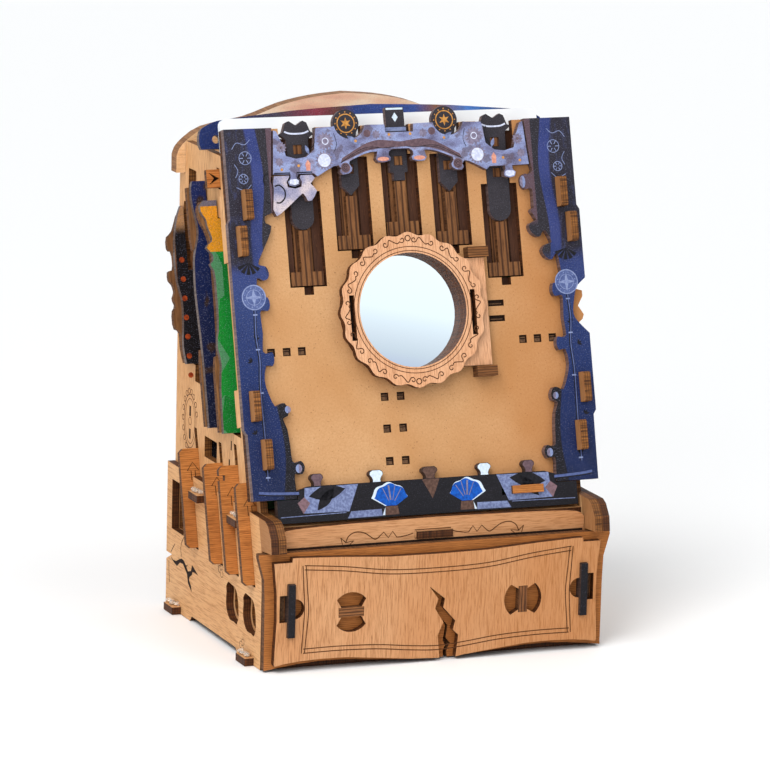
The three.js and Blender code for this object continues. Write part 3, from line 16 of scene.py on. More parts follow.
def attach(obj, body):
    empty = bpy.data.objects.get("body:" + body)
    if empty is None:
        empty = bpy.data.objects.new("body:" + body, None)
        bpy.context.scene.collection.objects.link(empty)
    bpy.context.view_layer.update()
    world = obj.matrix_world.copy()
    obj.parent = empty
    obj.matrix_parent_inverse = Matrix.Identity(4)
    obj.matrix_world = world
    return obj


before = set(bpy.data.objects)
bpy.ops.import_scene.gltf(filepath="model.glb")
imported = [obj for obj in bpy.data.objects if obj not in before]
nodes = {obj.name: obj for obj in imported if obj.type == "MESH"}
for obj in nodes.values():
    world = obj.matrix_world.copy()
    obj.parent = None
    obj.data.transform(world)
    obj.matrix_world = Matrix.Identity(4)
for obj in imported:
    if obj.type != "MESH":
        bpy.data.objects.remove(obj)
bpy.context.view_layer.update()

# %% [markdown]
# ## Directions of the boards
# Nearly every piece is a flat board, so each pattern and each inlay is drawn in the board's own
# millimetres: across it, along it, and out of its face. The front panel leans back by 16 degrees, the
# drawer front stands upright, the walls face left and right, and the floors lie flat.

# %% Planes that the boards lie in
MM = 0.001
TILT = math.radians(16)
PANEL_FOOT = Vector((0, -49.5, 70))
UP = Vector((0, math.sin(TILT), math.cos(TILT)))
OUT = Vector((0, -math.cos(TILT), math.sin(TILT)))
X, Y, Z = (Vector(axis) for axis in ((1, 0, 0), (0, 1, 0), (0, 0, 1)))
PLANES = {
    "leaning": (PANEL_FOOT, X, UP, OUT),
    "upright": (Vector(), X, Z, -Y),
    "left": (Vector(), Y, Z, -X),
    "flat": (Vector(), X, Y, Z),
}


def at(plane, across, along, out):
    """A point in metres from a board's own millimetres."""
    origin, a, b, c = PLANES[plane]
    return (origin + a * across + b * along + c * out) * MM


print("panel centre", tuple(round(v, 4) for v in at("leaning", 0, 77, 0)))

# %% [markdown]
# ## The camera
# The photograph was taken from the front left, a little above the box, through a long lens. A long lens
# keeps the vertical edges nearly parallel, which is why the camera stands two metres away from a box that
# is only 22 cm high.

# %% Camera
LENS_MM, SENSOR_MM = 229.3, 36
CAMERA_PLACE = Vector((-0.77682, -1.88393, 0.52671))
YAW, PITCH, ROLL = (math.radians(angle) for angle in (22.4, 11.7, 1.41))
forward = Vector((math.sin(YAW) * math.cos(PITCH), math.cos(YAW) * math.cos(PITCH), -math.sin(PITCH)))
level_right = Vector((math.cos(YAW), -math.sin(YAW), 0))
level_up = level_right.cross(forward)
right = level_right * math.cos(ROLL) + level_up * math.sin(ROLL)
up = level_up * math.cos(ROLL) - level_right * math.sin(ROLL)
camera_data = bpy.data.cameras.new("camera")
camera_data.lens = LENS_MM
camera_data.sensor_width = SENSOR_MM
camera_data.clip_start, camera_data.clip_end = 0.1, 60
camera = bpy.data.objects.new("camera", camera_data)
bpy.context.scene.collection.objects.link(camera)
turned = Matrix((right, up, -forward)).transposed().to_4x4()
camera.matrix_world = Matrix.Translation(CAMERA_PLACE) @ turned
bpy.context.scene.camera = camera
print("camera at", tuple(round(v, 3) for v in camera.matrix_world.translation))

# %% [markdown]
# ## One colour function, one node function
# Colours are written as sRGB hex values, as a paint program shows them. Blender's sockets want linear
# light, so one function converts them. Another adds one node with its settings and its links, which keeps
# each material short enough to read. Two more make the things that every finish here needs: colours that
# follow a value, and a coat of colour laid over another.


# %% Colour and node helpers
def linear(hex_colour):
    """An sRGB hex colour as linear RGBA."""
    parts = [int(hex_colour[i : i + 2], 16) / 255 for i in (1, 3, 5)]
    return tuple(
        [c / 12.92 if c <= 0.04045 else ((c + 0.055) / 1.055) ** 2.4 for c in parts] + [1]
    )


def node(tree, kind, inputs=None, **settings):
    """Adds a node. An input is a number, a hex colour, a vector or another node's output."""
    made = tree.nodes.new("ShaderNode" + kind)
    for key, value in settings.items():
        setattr(made, key, value)
    for socket, value in (inputs or {}).items():
        if isinstance(value, bpy.types.NodeSocket):
            tree.links.new(value, made.inputs[socket])
        else:
            made.inputs[socket].default_value = linear(value) if isinstance(value, str) else value
    return made


def set_stops(ramp, stops, interpolation="LINEAR"):
    """Fills a colour ramp with (place, hex colour) stops and gives its colour output."""
    elements = ramp.color_ramp.elements
    while len(elements) < len(stops):
        elements.new(0.5)
    for element, (place, colour) in zip(elements, stops):
        element.position = place
        element.color = linear(colour)
    ramp.color_ramp.interpolation = interpolation
    return ramp.outputs["Color"]


def colours_between(tree, value, low, high, stops, interpolation="LINEAR"):
    """Colours that follow a value as it goes from low to high."""
    share = node(tree, "MapRange", {0: value, 1: low, 2: high})
    return set_stops(node(tree, "ValToRGB", {0: share.outputs[0]}), stops, interpolation)


def coat(tree, below, above, *limits):
    """Lays a colour over another inside soft limits, and gives the colour that shows.

    A limit is a share from 0 to 1, or a value with where it starts and where it is full, and with the
    least and the most share if they aren't 0 and 1. The shares of several limits are multiplied.
    """
    share = None
    for limit in limits:
        if isinstance(limit, tuple):
            step = node(tree, "MapRange", dict(enumerate(limit)), interpolation_type="SMOOTHSTEP")
            limit = step.outputs[0]
        if share is None:
            share = limit
        else:
            share = node(tree, "Math", {0: share, 1: limit}, operation="MULTIPLY").outputs[0]
    blend = node(tree, "Mix", {0: share, 6: below, 7: above}, data_type="RGBA")
    return blend.outputs[2]


print("linear light ply:", [round(c, 3) for c in linear("#e8c08e")])

# %% [markdown]
# ## The table and the light
# The box stands on a plain white table in soft light, mostly from the left. Two suns with a wide disc give
# shadows with soft edges and even light on the whole table. A softbox stands near the left front, so the
# light fades across the panel. The sky fills the rest. What shiny pieces see of it is a white screen that
# turns bluer in slanted steps, because a mirror needs something to reflect.

# %% Table
TABLE_HALF_M = 30
TABLE_DROP_M = 0.0002
scene = bpy.context.scene
scene.view_settings.view_transform = "Standard"
table_mesh = bmesh.new()
bmesh.ops.create_grid(table_mesh, x_segments=8, y_segments=8, size=TABLE_HALF_M)
table_data = bpy.data.meshes.new("table")
table_mesh.to_mesh(table_data)
table_mesh.free()
table = bpy.data.objects.new("table", table_data)
table.location.z = -TABLE_DROP_M
scene.collection.objects.link(table)
table_material = bpy.data.materials.new("matt white table")
table_material.use_nodes = True
table_shader = table_material.node_tree.nodes["Principled BSDF"]
table_shader.inputs["Base Color"].default_value = linear("#f7f6f5")
table_shader.inputs["Roughness"].default_value = 0.6
table_data.materials.append(table_material)
print("table", 2 * TABLE_HALF_M, "m wide")

# %% Sky and the screen that mirrors see
SKY_STRENGTH, SCREEN_STRENGTH = 0.62, 1.12
SKY_LOW, SKY_HIGH = -0.2, 0.6
SKY_STOPS = [(0, "#dfe6ee"), (0.5, "#f2f7fb"), (1, "#fdfeff")]
SCREEN_SLANT = (0.383, 0, 1)
SCREEN_LOW, SCREEN_HIGH = 0.4548, 0.4765
SCREEN_STOPS = [
    (0, "#b6c6dc"),
    (0.07, "#bfcdde"),
    (0.13, "#c6d5e1"),
    (0.27, "#d3e1ec"),
    (0.4, "#deedf6"),
    (0.5, "#e8f6fd"),
    (1, "#eefaff"),
]
world = bpy.data.worlds.new("studio")
scene.world = world
world.use_nodes = True
sky = world.node_tree
sky.nodes.clear()
sky_place = node(sky, "TexCoord").outputs["Generated"]
height = node(sky, "SeparateXYZ", {0: sky_place}).outputs["Z"]
sky_colour = colours_between(sky, height, SKY_LOW, SKY_HIGH, SKY_STOPS)
sky_light = node(sky, "Background", {0: sky_colour, 1: SKY_STRENGTH})
slant = node(sky, "VectorMath", {0: sky_place, 1: SCREEN_SLANT}, operation="DOT_PRODUCT").outputs["Value"]
screen_colour = colours_between(sky, slant, SCREEN_LOW, SCREEN_HIGH, SCREEN_STOPS)
screen = node(sky, "Background", {0: screen_colour, 1: SCREEN_STRENGTH})
is_glossy = node(sky, "LightPath").outputs["Is Glossy Ray"]
both = node(sky, "MixShader", {0: is_glossy, 1: sky_light.outputs[0], 2: screen.outputs[0]})
node(sky, "OutputWorld", {0: both.outputs[0]})
print("steps on the screen:", len(SCREEN_STOPS))

# %% Suns and softbox
SUN_DISC = math.radians(28)
SUNS = (
    ("light_left", (-0.9, -0.5, 1.6), 1.3),
    ("light_right", (0.6, -0.9, 1.6), 0.45),
)
SOFTBOX_WATTS, SOFTBOX_SIZE = 1.7, 0.3
SOFTBOX_PLACE, SOFTBOX_AIM = Vector((-0.36, -0.46, 0.42)), Vector((0, -0.04, 0.12))
for name, direction, strength in SUNS:
    sun = bpy.data.lights.new(name, "SUN")
    sun.energy = strength
    sun.angle = SUN_DISC
    lamp = bpy.data.objects.new(name, sun)
    lamp.rotation_euler = Vector(direction).to_track_quat("Z", "Y").to_euler()
    scene.collection.objects.link(lamp)

softbox_data = bpy.data.lights.new("near_softbox", "AREA")
softbox_data.energy = SOFTBOX_WATTS
softbox_data.size = SOFTBOX_SIZE
softbox = bpy.data.objects.new("near_softbox", softbox_data)
softbox.location = SOFTBOX_PLACE
softbox.rotation_euler = (SOFTBOX_AIM - SOFTBOX_PLACE).to_track_quat("-Z", "Y").to_euler()
scene.collection.objects.link(softbox)

# %% [markdown]
# ## Measuring a material in board millimetres
# Object coordinates stay with a piece when it moves, so they are turned into the board's own millimetres.
# The object's own normal tells the wide faces, which keep the sheet's colour, from the cut edges, which
# the laser has burnt brown. One material can then dress the whole board.


# %% Board coordinates
def new_material(name):
    material = bpy.data.materials.new(name)
    material.use_nodes = True
    material.node_tree.nodes.clear()
    return material, material.node_tree


def board_space(tree, plane):
    """A point's across, along and out in mm, the same as a vector, and how far a face looks out."""
    origin, *directions = PLANES[plane]
    here = node(tree, "TexCoord")
    sockets = []
    for direction in directions:
        spot = node(
            tree, "VectorMath", {0: here.outputs["Object"], 1: direction / MM}, operation="DOT_PRODUCT"
        )
        moved = node(tree, "Math", {0: spot.outputs["Value"], 1: -origin.dot(direction)})
        sockets.append(moved.outputs[0])
    place = node(tree, "CombineXYZ", dict(enumerate(sockets)))
    facing = node(
        tree, "VectorMath", {0: here.outputs["Normal"], 1: directions[2]}, operation="DOT_PRODUCT"
    )
    return sockets, place.outputs[0], facing.outputs["Value"]


def sheet(name, plane):
    """A new material with its node tree and what board_space gives."""
    material, tree = new_material(name)
    return material, tree, *board_space(tree, plane)


def stretched(tree, place, scale, detail=2.0, rough=0.5):
    """Noise whose cells have their own length each way: scale is cells per millimetre."""
    wide = node(tree, "VectorMath", {0: place, 1: scale}, operation="MULTIPLY")
    cells = node(
        tree, "TexNoise", {"Vector": wide.outputs[0], "Scale": 1, "Detail": detail, "Roughness": rough}
    )
    return cells.outputs["Fac"]


def waves(tree, value, length):
    """A sine that comes round once in a length in millimetres."""
    turns = node(tree, "Math", {0: value, 1: 2 * math.pi / length}, operation="MULTIPLY")
    return node(tree, "Math", {0: turns.outputs[0]}, operation="SINE").outputs[0]


print("planes:", ", ".join(PLANES))

# %% [markdown]
# ## Cut edges of plywood
# A laser burns its way through 3 mm plywood. The edge shows the plies as darker and lighter stripes, and
# fine ribs run square to the faces, where the beam moved on. The ribs are about 0.3 mm apart; here they
# are drawn 0.7 mm apart, because finer ones would not show in the picture.

# %% Edge colours
PLY_STRIPE_MM = 1.07
RIB_MM, RIB_LENGTH_MM = 0.7, 10


def edge_colour(tree, sockets, place, dark, light):
    """Burnt ribs and ply stripes on the cut edge of a board."""
    ribs = stretched(tree, place, (1 / RIB_MM, 1 / RIB_MM, 1 / RIB_LENGTH_MM), 3.0)
    ribbed = set_stops(node(tree, "ValToRGB", {0: ribs}), [(0.3, dark), (0.68, light)])
    plies = waves(tree, sockets[2], PLY_STRIPE_MM)
    return coat(tree, ribbed, dark, (plies, -0.2, 0.9, 0, 0.55))


print("ply stripes every", PLY_STRIPE_MM, "mm")

# %% [markdown]
# ## Birch plywood
# Birch is pale and even, with short fine fibres and soft clouds rather than bold rings. Three noises do
# it: clouds some 8 cm long, fibres 8 mm long and half a millimetre wide, and rare darker pores. The grain
# follows the direction that each board was cut in. It is unvarnished, so it is matt: roughness 0.6, and
# less shine than a smooth face of its IOR of 1.5 would have, because raw fibres scatter the light.

# %% Faces, edges and the shader of a board
FACE_TURN = 0.7
MATT_SHINE = 0.2
RELIEF_M, RELIEF_STRENGTH = 0.0002, 0.35


def finish_board(tree, face, edge, facing, rough, relief, back=None):
    """Finishes a board's shader with face and edge colours. Without a back, both faces are alike."""
    if back is None:
        facing = node(tree, "Math", {0: facing}, operation="ABSOLUTE").outputs[0]
    else:
        is_back = node(tree, "Math", {0: facing, 1: -FACE_TURN}, operation="LESS_THAN").outputs[0]
        edge = coat(tree, edge, back, is_back)
    is_face = node(tree, "Math", {0: facing, 1: FACE_TURN}, operation="GREATER_THAN").outputs[0]
    colour = coat(tree, edge, face, is_face)
    bump = node(tree, "Bump", {"Height": relief, "Strength": RELIEF_STRENGTH, "Distance": RELIEF_M})
    shader = node(
        tree,
        "BsdfPrincipled",
        {
            "Base Color": colour,
            "Roughness": rough,
            "Specular IOR Level": MATT_SHINE,
            "Normal": bump.outputs[0],
        },
    )
    node(tree, "OutputMaterial", {0: shader.outputs[0]})


print("shine of raw wood:", MATT_SHINE)

# %% Grain
ACROSS, ALONG = 0, 1
CLOUDS, FIBRES, PORES = (0.012, 0.03, 0.03), (0.13, 2.2, 0.4), (0.3, 2.6, 0.4)


def with_grain(scale, grain):
    """Turns cells per mm, given with the grain, across it and through the sheet, to the board's order."""
    with_it, across_it, through = scale
    return (with_it, across_it, through) if grain == ACROSS else (across_it, with_it, through)


def grain_colour(tree, place, grain, tones, pores="#7d4f2a"):
    """Clouds, fibres and pores of a sheet of wood, whose tones are dark, middle and light."""
    clouds = stretched(tree, place, with_grain(CLOUDS, grain), 3.0)
    fibres = stretched(tree, place, with_grain(FIBRES, grain), 4.0, 0.62)
    holes = stretched(tree, place, with_grain(PORES, grain), 1.0)
    dark, middle, light = tones
    colour = set_stops(node(tree, "ValToRGB", {0: clouds}), [(0.36, middle), (0.66, light)])
    colour = coat(tree, colour, dark, (fibres, 0.42, 0.72, 0, 0.75))
    colour = coat(tree, colour, pores, (holes, 0.66, 0.76, 0, 0.42))
    return colour, fibres


print("a fibre is", round(1 / FIBRES[0]), "mm long")

# %% Birch plywood for each direction
WALL_TONES = ("#98622f", "#cf9a67", "#dbab7a")
FRONT_TONES = ("#8f5a30", "#c58c5e", "#cf9c70")
RING_TONES = ("#9a6440", "#d49a70", "#dba983")
# Painted shade: the plywood behind the slider channels gets near black-brown tones for the shade deep in
# the channels.
CHANNEL_SHADE_TONES = ("#331c10", "#47291a", "#553524")
WALL_EDGE, CASE_EDGE = ("#2a1408", "#63381a"), ("#341b0c", "#96602f")
# The second brown is painted shade for the right side of the upright boards.
PROUD_BROWN, RIGHT_SHADE_BROWN = "#84522a", "#ab6729"


def plywood(name, plane, grain, tones=WALL_TONES, edge=WALL_EDGE, right_shade_share=0.0):
    """Birch plywood with laser-cut edges. The last argument is how much painted shade darkens the sheet
    towards its right, where less light falls.
    """
    material, tree, sockets, place, facing = sheet(name, plane)
    face, fibres = grain_colour(tree, place, grain, tones)
    if plane == "left":
        # The tips of the walls that stand proud of the leaning panel are smoked.
        past_panel = board_space(tree, "leaning")[0][2]
        face = coat(tree, face, PROUD_BROWN, (past_panel, -0.4, -0.1, 0, 0.7))
    # Painted shade: the face darkens towards its right, where less of the light from the left falls.
    if right_shade_share:
        face = coat(tree, face, RIGHT_SHADE_BROWN, (sockets[0], -60, 75, 0, right_shade_share))
    cut = edge_colour(tree, sockets, place, *edge)
    finish_board(tree, face, cut, facing, 0.6, fibres)
    return material


birch = {
    "side": plywood("birch plywood, grain along the wall", "left", ACROSS),
    "side_up": plywood("birch plywood, grain up the wall", "left", ALONG, edge=CASE_EDGE),
    "front": plywood("birch plywood, upright grain", "upright", ALONG, FRONT_TONES, right_shade_share=0.36),
    "rail": plywood("birch plywood, level grain", "upright", ACROSS, FRONT_TONES, right_shade_share=0.2),
    "flat": plywood("birch plywood, lying flat", "flat", ACROSS),
    "leaning": plywood("birch plywood, leaning", "leaning", ALONG, RING_TONES),
    "channel": plywood("plywood behind the channels, darkened as painted shade", "leaning", ALONG, CHANNEL_SHADE_TONES),
}
print("birch plywood in", len(birch), "finishes")

# %% [markdown]
# ## Engraved brown plywood
# Some faces were scanned by the laser at low power until the whole surface turned brown: the sliders in
# the left wall and the drawer's inner front. The beam leaves level lines about 0.1 mm apart. They are
# drawn 0.8 mm apart here, the finest that the picture can show. The same pattern, set wider, gives the
# plies of boards that are seen on edge, the carriages, the hinge brackets and the grips, and the streaks
# of the smoked backing boards.

# %% Scanned faces and plies seen on edge
SCAN_MM = 0.8
SCAN_TONES = ("#6d3a15", "#ab6a33", "#c88142")
INNER_TONES = ("#6a3916", "#9e602d", "#ba753b")
CARRIAGE_TONES = ("#331b0d", "#744a2a", "#8d5f38")
BRACKET_TONES = ("#341c0d", "#6f4424", "#8a5930")
GRIP_TONES = ("#341c0d", "#76492a", "#915f37")
BACKING_TONES = ("#4a2b14", "#7a5130", "#93683f")
SCAN_EDGE, SCAN_PORES = ("#3d2413", "#7a5030"), "#3a2010"


def scanned(name, plane, grain, tones, stripe=SCAN_MM, depth=0.35):
    """Browned plywood with stripes along its grain, so many millimetres apart."""
    material, tree, sockets, place, facing = sheet(name, plane)
    face, fibres = grain_colour(tree, place, grain, tones, SCAN_PORES)
    stripes = waves(tree, sockets[1 - grain], stripe)
    face = coat(tree, face, tones[0], (stripes, 0, 1, 0, depth))
    cut = edge_colour(tree, sockets, place, *SCAN_EDGE)
    finish_board(tree, face, cut, facing, 0.68, fibres)
    return material


brown = {
    "leaning": scanned("engraved brown plywood", "leaning", ACROSS, SCAN_TONES),
    "upright": scanned("browned drawer front", "upright", ACROSS, INNER_TONES),
    "carriage": scanned("plies of the carriages", "leaning", ALONG, CARRIAGE_TONES, 2.4, 0.85),
    "bracket": scanned("plies of the brackets", "leaning", ACROSS, BRACKET_TONES, 1.1, 0.8),
    "level_grip": scanned("level plies of a grip", "upright", ACROSS, GRIP_TONES, 1.3, 0.8),
    "upright_grip": scanned("upright plies of a grip", "upright", ALONG, GRIP_TONES, 1.3, 0.8),
    "backing": scanned("smoked backing board", "leaning", ALONG, BACKING_TONES, 2.6),
}
print("brown finishes:", ", ".join(brown))

# %% [markdown]
# ## Tan fibreboard
# The leaning panel is raw medium-density fibreboard. It has no grain, only wood dust pressed flat: a
# warm even tan with a fine felt of fibres under a millimetre long and scattered darker specks. It grows a
# little browner to the right, where less light falls.

# %% Fibreboard
FELT_PER_MM = 1.1
PANEL_EDGE = ("#2a1408", "#63391c")
fibreboard, tree, sockets, place, facing = sheet("raw fibreboard", "leaning")
felt = stretched(tree, place, (FELT_PER_MM,) * 3, 4.0, 0.7)
clouds = stretched(tree, place, (0.03, 0.03, 0.03))
specks = stretched(tree, place, (1.7, 1.2, 1.5), 1.0)
tan = set_stops(node(tree, "ValToRGB", {0: clouds}), [(0.35, "#bb8a5b"), (0.65, "#c89b6e")])
tan = coat(tree, tan, "#a87647", (felt, 0.3, 0.75, 0, 0.45))
tan = coat(tree, tan, "#6a4226", (specks, 0.69, 0.76, 0, 0.55))
tan = coat(tree, tan, "#a7601e", (sockets[0], 12, 70, 0, 0.46))
finish_board(tree, tan, edge_colour(tree, sockets, place, *PANEL_EDGE), facing, 0.75, felt)
print("fibreboard felt:", round(1 / FELT_PER_MM, 2), "mm")

# %% [markdown]
# ## Prints on board
# The borders and picture boards are printed on the face, then cut, so their edges show grey-brown
# laminated board, and their backs are bare. The print has a fine grain of its own, which is drawn half a
# millimetre coarse to show. A print is a stack of layers: a colour that changes along the board, then
# coats laid over it inside soft limits. The motifs that go on top are cut as thin inlays further down, so
# that their edges stay sharp.

# %% What all prints share
PRINT_GRAIN_MM = 0.55
PRINT_EDGE, SKIRT_EDGE = ("#46342e", "#826b69"), ("#2a1e1a", "#5a463e")
PICTURE_EDGE, ARCH_EDGE = ("#453833", "#7b6a64"), ("#6b4426", "#a5764a")
BARE_BACK = ("#a8744a", "#c99866", "#d8ab79")


def print_finish(tree, colour, measures, rough=0.5, edge=PRINT_EDGE, light=0.36, dark=0.5):
    """Adds the print's light and dark grain, the laminated edge and the bare back."""
    sockets, place, facing = measures
    dots = stretched(tree, place, (1 / PRINT_GRAIN_MM,) * 3, 2.0, 0.7)
    light_dots = stretched(tree, place, (1.3 / PRINT_GRAIN_MM,) * 3, 1.0)
    colour = coat(tree, colour, "#0c0b14", (dots, 0.35, 0.8, 0, dark))
    colour = coat(tree, colour, "#9c9cb6", (light_dots, 0.56, 0.8, 0, light))
    back, _ = grain_colour(tree, place, ACROSS, BARE_BACK)
    cut = edge_colour(tree, sockets, place, *edge)
    finish_board(tree, colour, cut, facing, rough, dots, back)


print("print grain:", PRINT_GRAIN_MM, "mm")

# %% [markdown]
# ## The printed borders
# The blue is very dark at the foot and mid blue at the top. A black strip with a wavy edge follows the
# inner side at the top and at the foot, the outer side turns to charcoal near the top, and a thin mauve
# rim lines the inner edge beside the top band.

# %% Border print
BORDER_HEIGHT = 155
STRIP_MIDDLE, STRIP_SWING = 63.6, 1.4
STRIP_SLOPE, STRIP_START = 0.11, 2.6
BLUES = [(0, "#0f1c40"), (0.3, "#182a5c"), (0.52, "#2b3b6c"), (0.66, "#343f76"), (1, "#353f7a")]


def past_strip(tree, side, along):
    """How far a point lies inwards of the wavy line between the blue and the strip."""
    swing = node(tree, "Math", {0: along, 1: STRIP_SLOPE, 2: STRIP_START}, operation="MULTIPLY_ADD")
    wave = node(tree, "Math", {0: swing.outputs[0]}, operation="SINE").outputs[0]
    line = node(tree, "Math", {0: wave, 1: STRIP_SWING, 2: STRIP_MIDDLE}, operation="MULTIPLY_ADD")
    return node(tree, "Math", {0: line.outputs[0], 1: side}, operation="SUBTRACT").outputs[0]


border_print, tree, *measures = sheet("printed blue border", "leaning")
across, along, _ = measures[0]
place = measures[1]
# The distance from the middle line of the box makes both borders alike.
side = node(tree, "Math", {0: across}, operation="ABSOLUTE").outputs[0]
wobble = stretched(tree, place, (0.05, 0.05, 0.05), 3.0)
brushed = stretched(tree, place, (0.5, 0.16, 0.3), 3.0, 0.6)
inward = past_strip(tree, side, along)
blue = colours_between(tree, along, 0, BORDER_HEIGHT, BLUES)
blue = coat(tree, blue, "#1a2a5c", (wobble, 0.4, 0.7, 0, 0.5))
charcoal = coat(tree, "#28242e", "#3d4266", (brushed, 0.5, 0.7, 0, 0.6))
uneven_height = node(tree, "Math", {0: wobble, 1: 14, 2: along}, operation="MULTIPLY_ADD").outputs[0]
blue = coat(tree, blue, charcoal, (uneven_height, 99, 107), (inward, -4.2, -5.6))
strip_black = coat(tree, "#141013", "#29252a", (along, 60, 80))
for start, full in ((90, 98), (50, 44)):
    blue = coat(tree, blue, strip_black, (inward, -0.3, 0.3), (along, start, full))
blue = coat(tree, blue, "#5c464e", (side, 59.9, 59.5), (along, 108, 112))
print_finish(tree, blue, measures)
print("border print:", len(BLUES), "blues")

# %% [markdown]
# ## Band, corner, sliders and skirt
# The top band and the loose corner piece are cloudy grey-blue, the slider heads charcoal and the skirt
# nearly black. Dark prints get fainter light dots, because strong ones would make them look dusty.

# %% Band and corner prints
band_print, tree, *measures = sheet("printed grey-blue band", "leaning")
clouds = stretched(tree, measures[1], (0.09, 0.14, 0.1), 3.0)
patches = stretched(tree, measures[1], (0.16, 0.2, 0.1))
BAND_BLUES = [(0.32, "#605c78"), (0.46, "#7f84ab"), (0.6, "#949fc8"), (0.72, "#857180")]
band = set_stops(node(tree, "ValToRGB", {0: clouds}), BAND_BLUES)
band = coat(tree, band, "#5f525f", (patches, 0.55, 0.62, 0, 0.7))
print_finish(tree, band, measures)

corner_print, tree, *measures = sheet("printed pale blue corner", "leaning")
clouds = stretched(tree, measures[1], (0.12, 0.12, 0.1), 3.0)
CORNER_BLUES = [(0.35, "#75799c"), (0.5, "#a29db4"), (0.65, "#cbbdc2")]
print_finish(tree, set_stops(node(tree, "ValToRGB", {0: clouds}), CORNER_BLUES), measures)
print("band and corner printed")

# %% Slider and skirt prints
slider_print, tree, *measures = sheet("printed charcoal slider", "leaning")
clouds = stretched(tree, measures[1], (0.2, 0.2, 0.2))
print_finish(tree, coat(tree, "#2a262a", "#3b363b", clouds), measures, 0.6, light=0.14)

skirt_print, tree, *measures = sheet("printed black skirt", "leaning")
clouds = stretched(tree, measures[1], (0.1, 0.3, 0.2))
print_finish(tree, coat(tree, "#0d0b0e", "#1b171b", clouds), measures, 0.6, SKIRT_EDGE, 0.1)
print("sliders and skirt printed")

# %% [markdown]
# ## Picture boards
# Three printed boards stand one behind the other between the walls, and their wavy wings reach out
# through the side openings. The front one is leaf green with an amber shoulder and a night-blue arch, the
# middle one navy, and the rear one goes from dark red through black to brown. Facets of flat colour come
# from a Voronoi texture with cells about 15 mm across.

# %% Green picture
LEAF_SCALE = (0.09, 0.06, 0)
LEAF_GREENS = [(0, "#067a26"), (0.45, "#0c8a2c"), (0.62, "#4f9060")]
LEAF_TOP = 106.3
SHOULDERS = [(0, "#000000"), (0.625, "#e0961c"), (0.735, "#6b6470"), (0.77, "#13265c")]
ARCH_COLOURS = [
    (0, "#13265c"),
    (0.16, "#463c48"),
    (0.3, "#8a3544"),
    (0.38, "#5c3a30"),
    (0.44, "#2a3f7e"),
    (0.66, "#384f93"),
    (0.74, "#86583a"),
    (0.86, "#4d83cf"),
    (1, "#13265c"),
]
green_print, tree, *measures = sheet("printed green picture", "leaning")
across, along, _ = measures[0]
leaf_place = node(tree, "VectorMath", {0: measures[1], 1: LEAF_SCALE}, operation="MULTIPLY")
cells = node(tree, "TexVoronoi", {"Vector": leaf_place.outputs[0], "Scale": 1})
pick = node(tree, "SeparateXYZ", {0: cells.outputs["Color"]}).outputs[0]
leaves = set_stops(node(tree, "ValToRGB", {0: pick}), LEAF_GREENS, "CONSTANT")
shoulders = colours_between(tree, along, 0, 170, SHOULDERS, "CONSTANT")
is_high = node(tree, "Math", {0: along, 1: LEAF_TOP}, operation="GREATER_THAN").outputs[0]
green = coat(tree, leaves, shoulders, is_high)
arch = colours_between(tree, across, -62, 62, ARCH_COLOURS)
green = coat(tree, green, arch, (along, 150, 153))
print_finish(tree, green, measures, edge=PICTURE_EDGE)
print("greens:", len(LEAF_GREENS))

# %% Navy and red pictures
navy_print, tree, *measures = sheet("printed navy picture", "leaning")
patches = stretched(tree, measures[1], (0.07, 0.05, 0.1))
navy = coat(tree, "#080e26", "#0f2156", (measures[0][ALONG], 20, 150))
navy = coat(tree, navy, "#33221c", (patches, 0.57, 0.6))
print_finish(tree, navy, measures, edge=PICTURE_EDGE)

GLOW = [
    (0, "#5a160e"),
    (0.3, "#6b1a10"),
    (0.42, "#120b0c"),
    (0.7, "#17100f"),
    (0.84, "#8a5a3a"),
    (1, "#b48458"),
]
red_print, tree, *measures = sheet("printed red picture", "leaning")
across, along, _ = measures[0]
side = node(tree, "Math", {0: across}, operation="ABSOLUTE").outputs[0]
glow = colours_between(tree, along, 40, 118, GLOW)
glow = coat(tree, glow, "#0f0909", (side, 78.6, 77.8), (along, 124, 118))
print_finish(tree, glow, measures, edge=PICTURE_EDGE)
print("red picture:", len(GLOW), "stops")

# %% [markdown]
# ## The arch at the back
# The arch board is washed in peach and coral in its middle, and its shoulders are bare wood. It takes
# little of the dark print grain, so that it stays light.

# %% Arch print
ARCH_WASH = [(0.34, "#fff1dc"), (0.5, "#fbd8ba"), (0.62, "#f1bea2"), (0.72, "#d59b8f")]
ARCH_WOOD = ("#cc9864", "#e6ba8a", "#efcb9f")
arch_print, tree, *measures = sheet("printed coral arch", "upright")
wash = stretched(tree, measures[1], (0.03, 0.12, 0.1), 3.0)
washed = set_stops(node(tree, "ValToRGB", {0: wash}), ARCH_WASH)
bare, _ = grain_colour(tree, measures[1], ACROSS, ARCH_WOOD)
side = node(tree, "Math", {0: measures[0][ACROSS]}, operation="ABSOLUTE").outputs[0]
washed = coat(tree, bare, washed, (side, 53, 47))
print_finish(tree, washed, measures, 0.55, ARCH_EDGE, 0.12, 0.14)
print("arch washed in", len(ARCH_WASH), "tones")

# %% [markdown]
# ## Ink, mirror, acrylic and glue
# Inks and burnt lines get a little unevenness, because a single flat colour never looks printed. The
# mirror is silvered acrylic: fully metallic, nearly smooth and almost without colour. The strip at the
# top is pale cast acrylic with a polished face. The beads of hot glue beside the tabs are clear and shiny.


# %% Inks and burnt lines
def ink(name, hex_colour, second, rough=0.55):
    """A printed or burnt colour that drifts a little towards a second one."""
    material, tree = new_material(name)
    here = node(tree, "TexCoord")
    drift = node(tree, "TexNoise", {"Vector": here.outputs["Object"], "Scale": 900, "Detail": 3})
    colour = coat(tree, hex_colour, second, (drift.outputs["Fac"], 0.35, 0.7))
    shader = node(
        tree, "BsdfPrincipled", {"Base Color": colour, "Roughness": rough, "Specular IOR Level": MATT_SHINE}
    )
    node(tree, "OutputMaterial", {0: shader.outputs[0]})
    return material


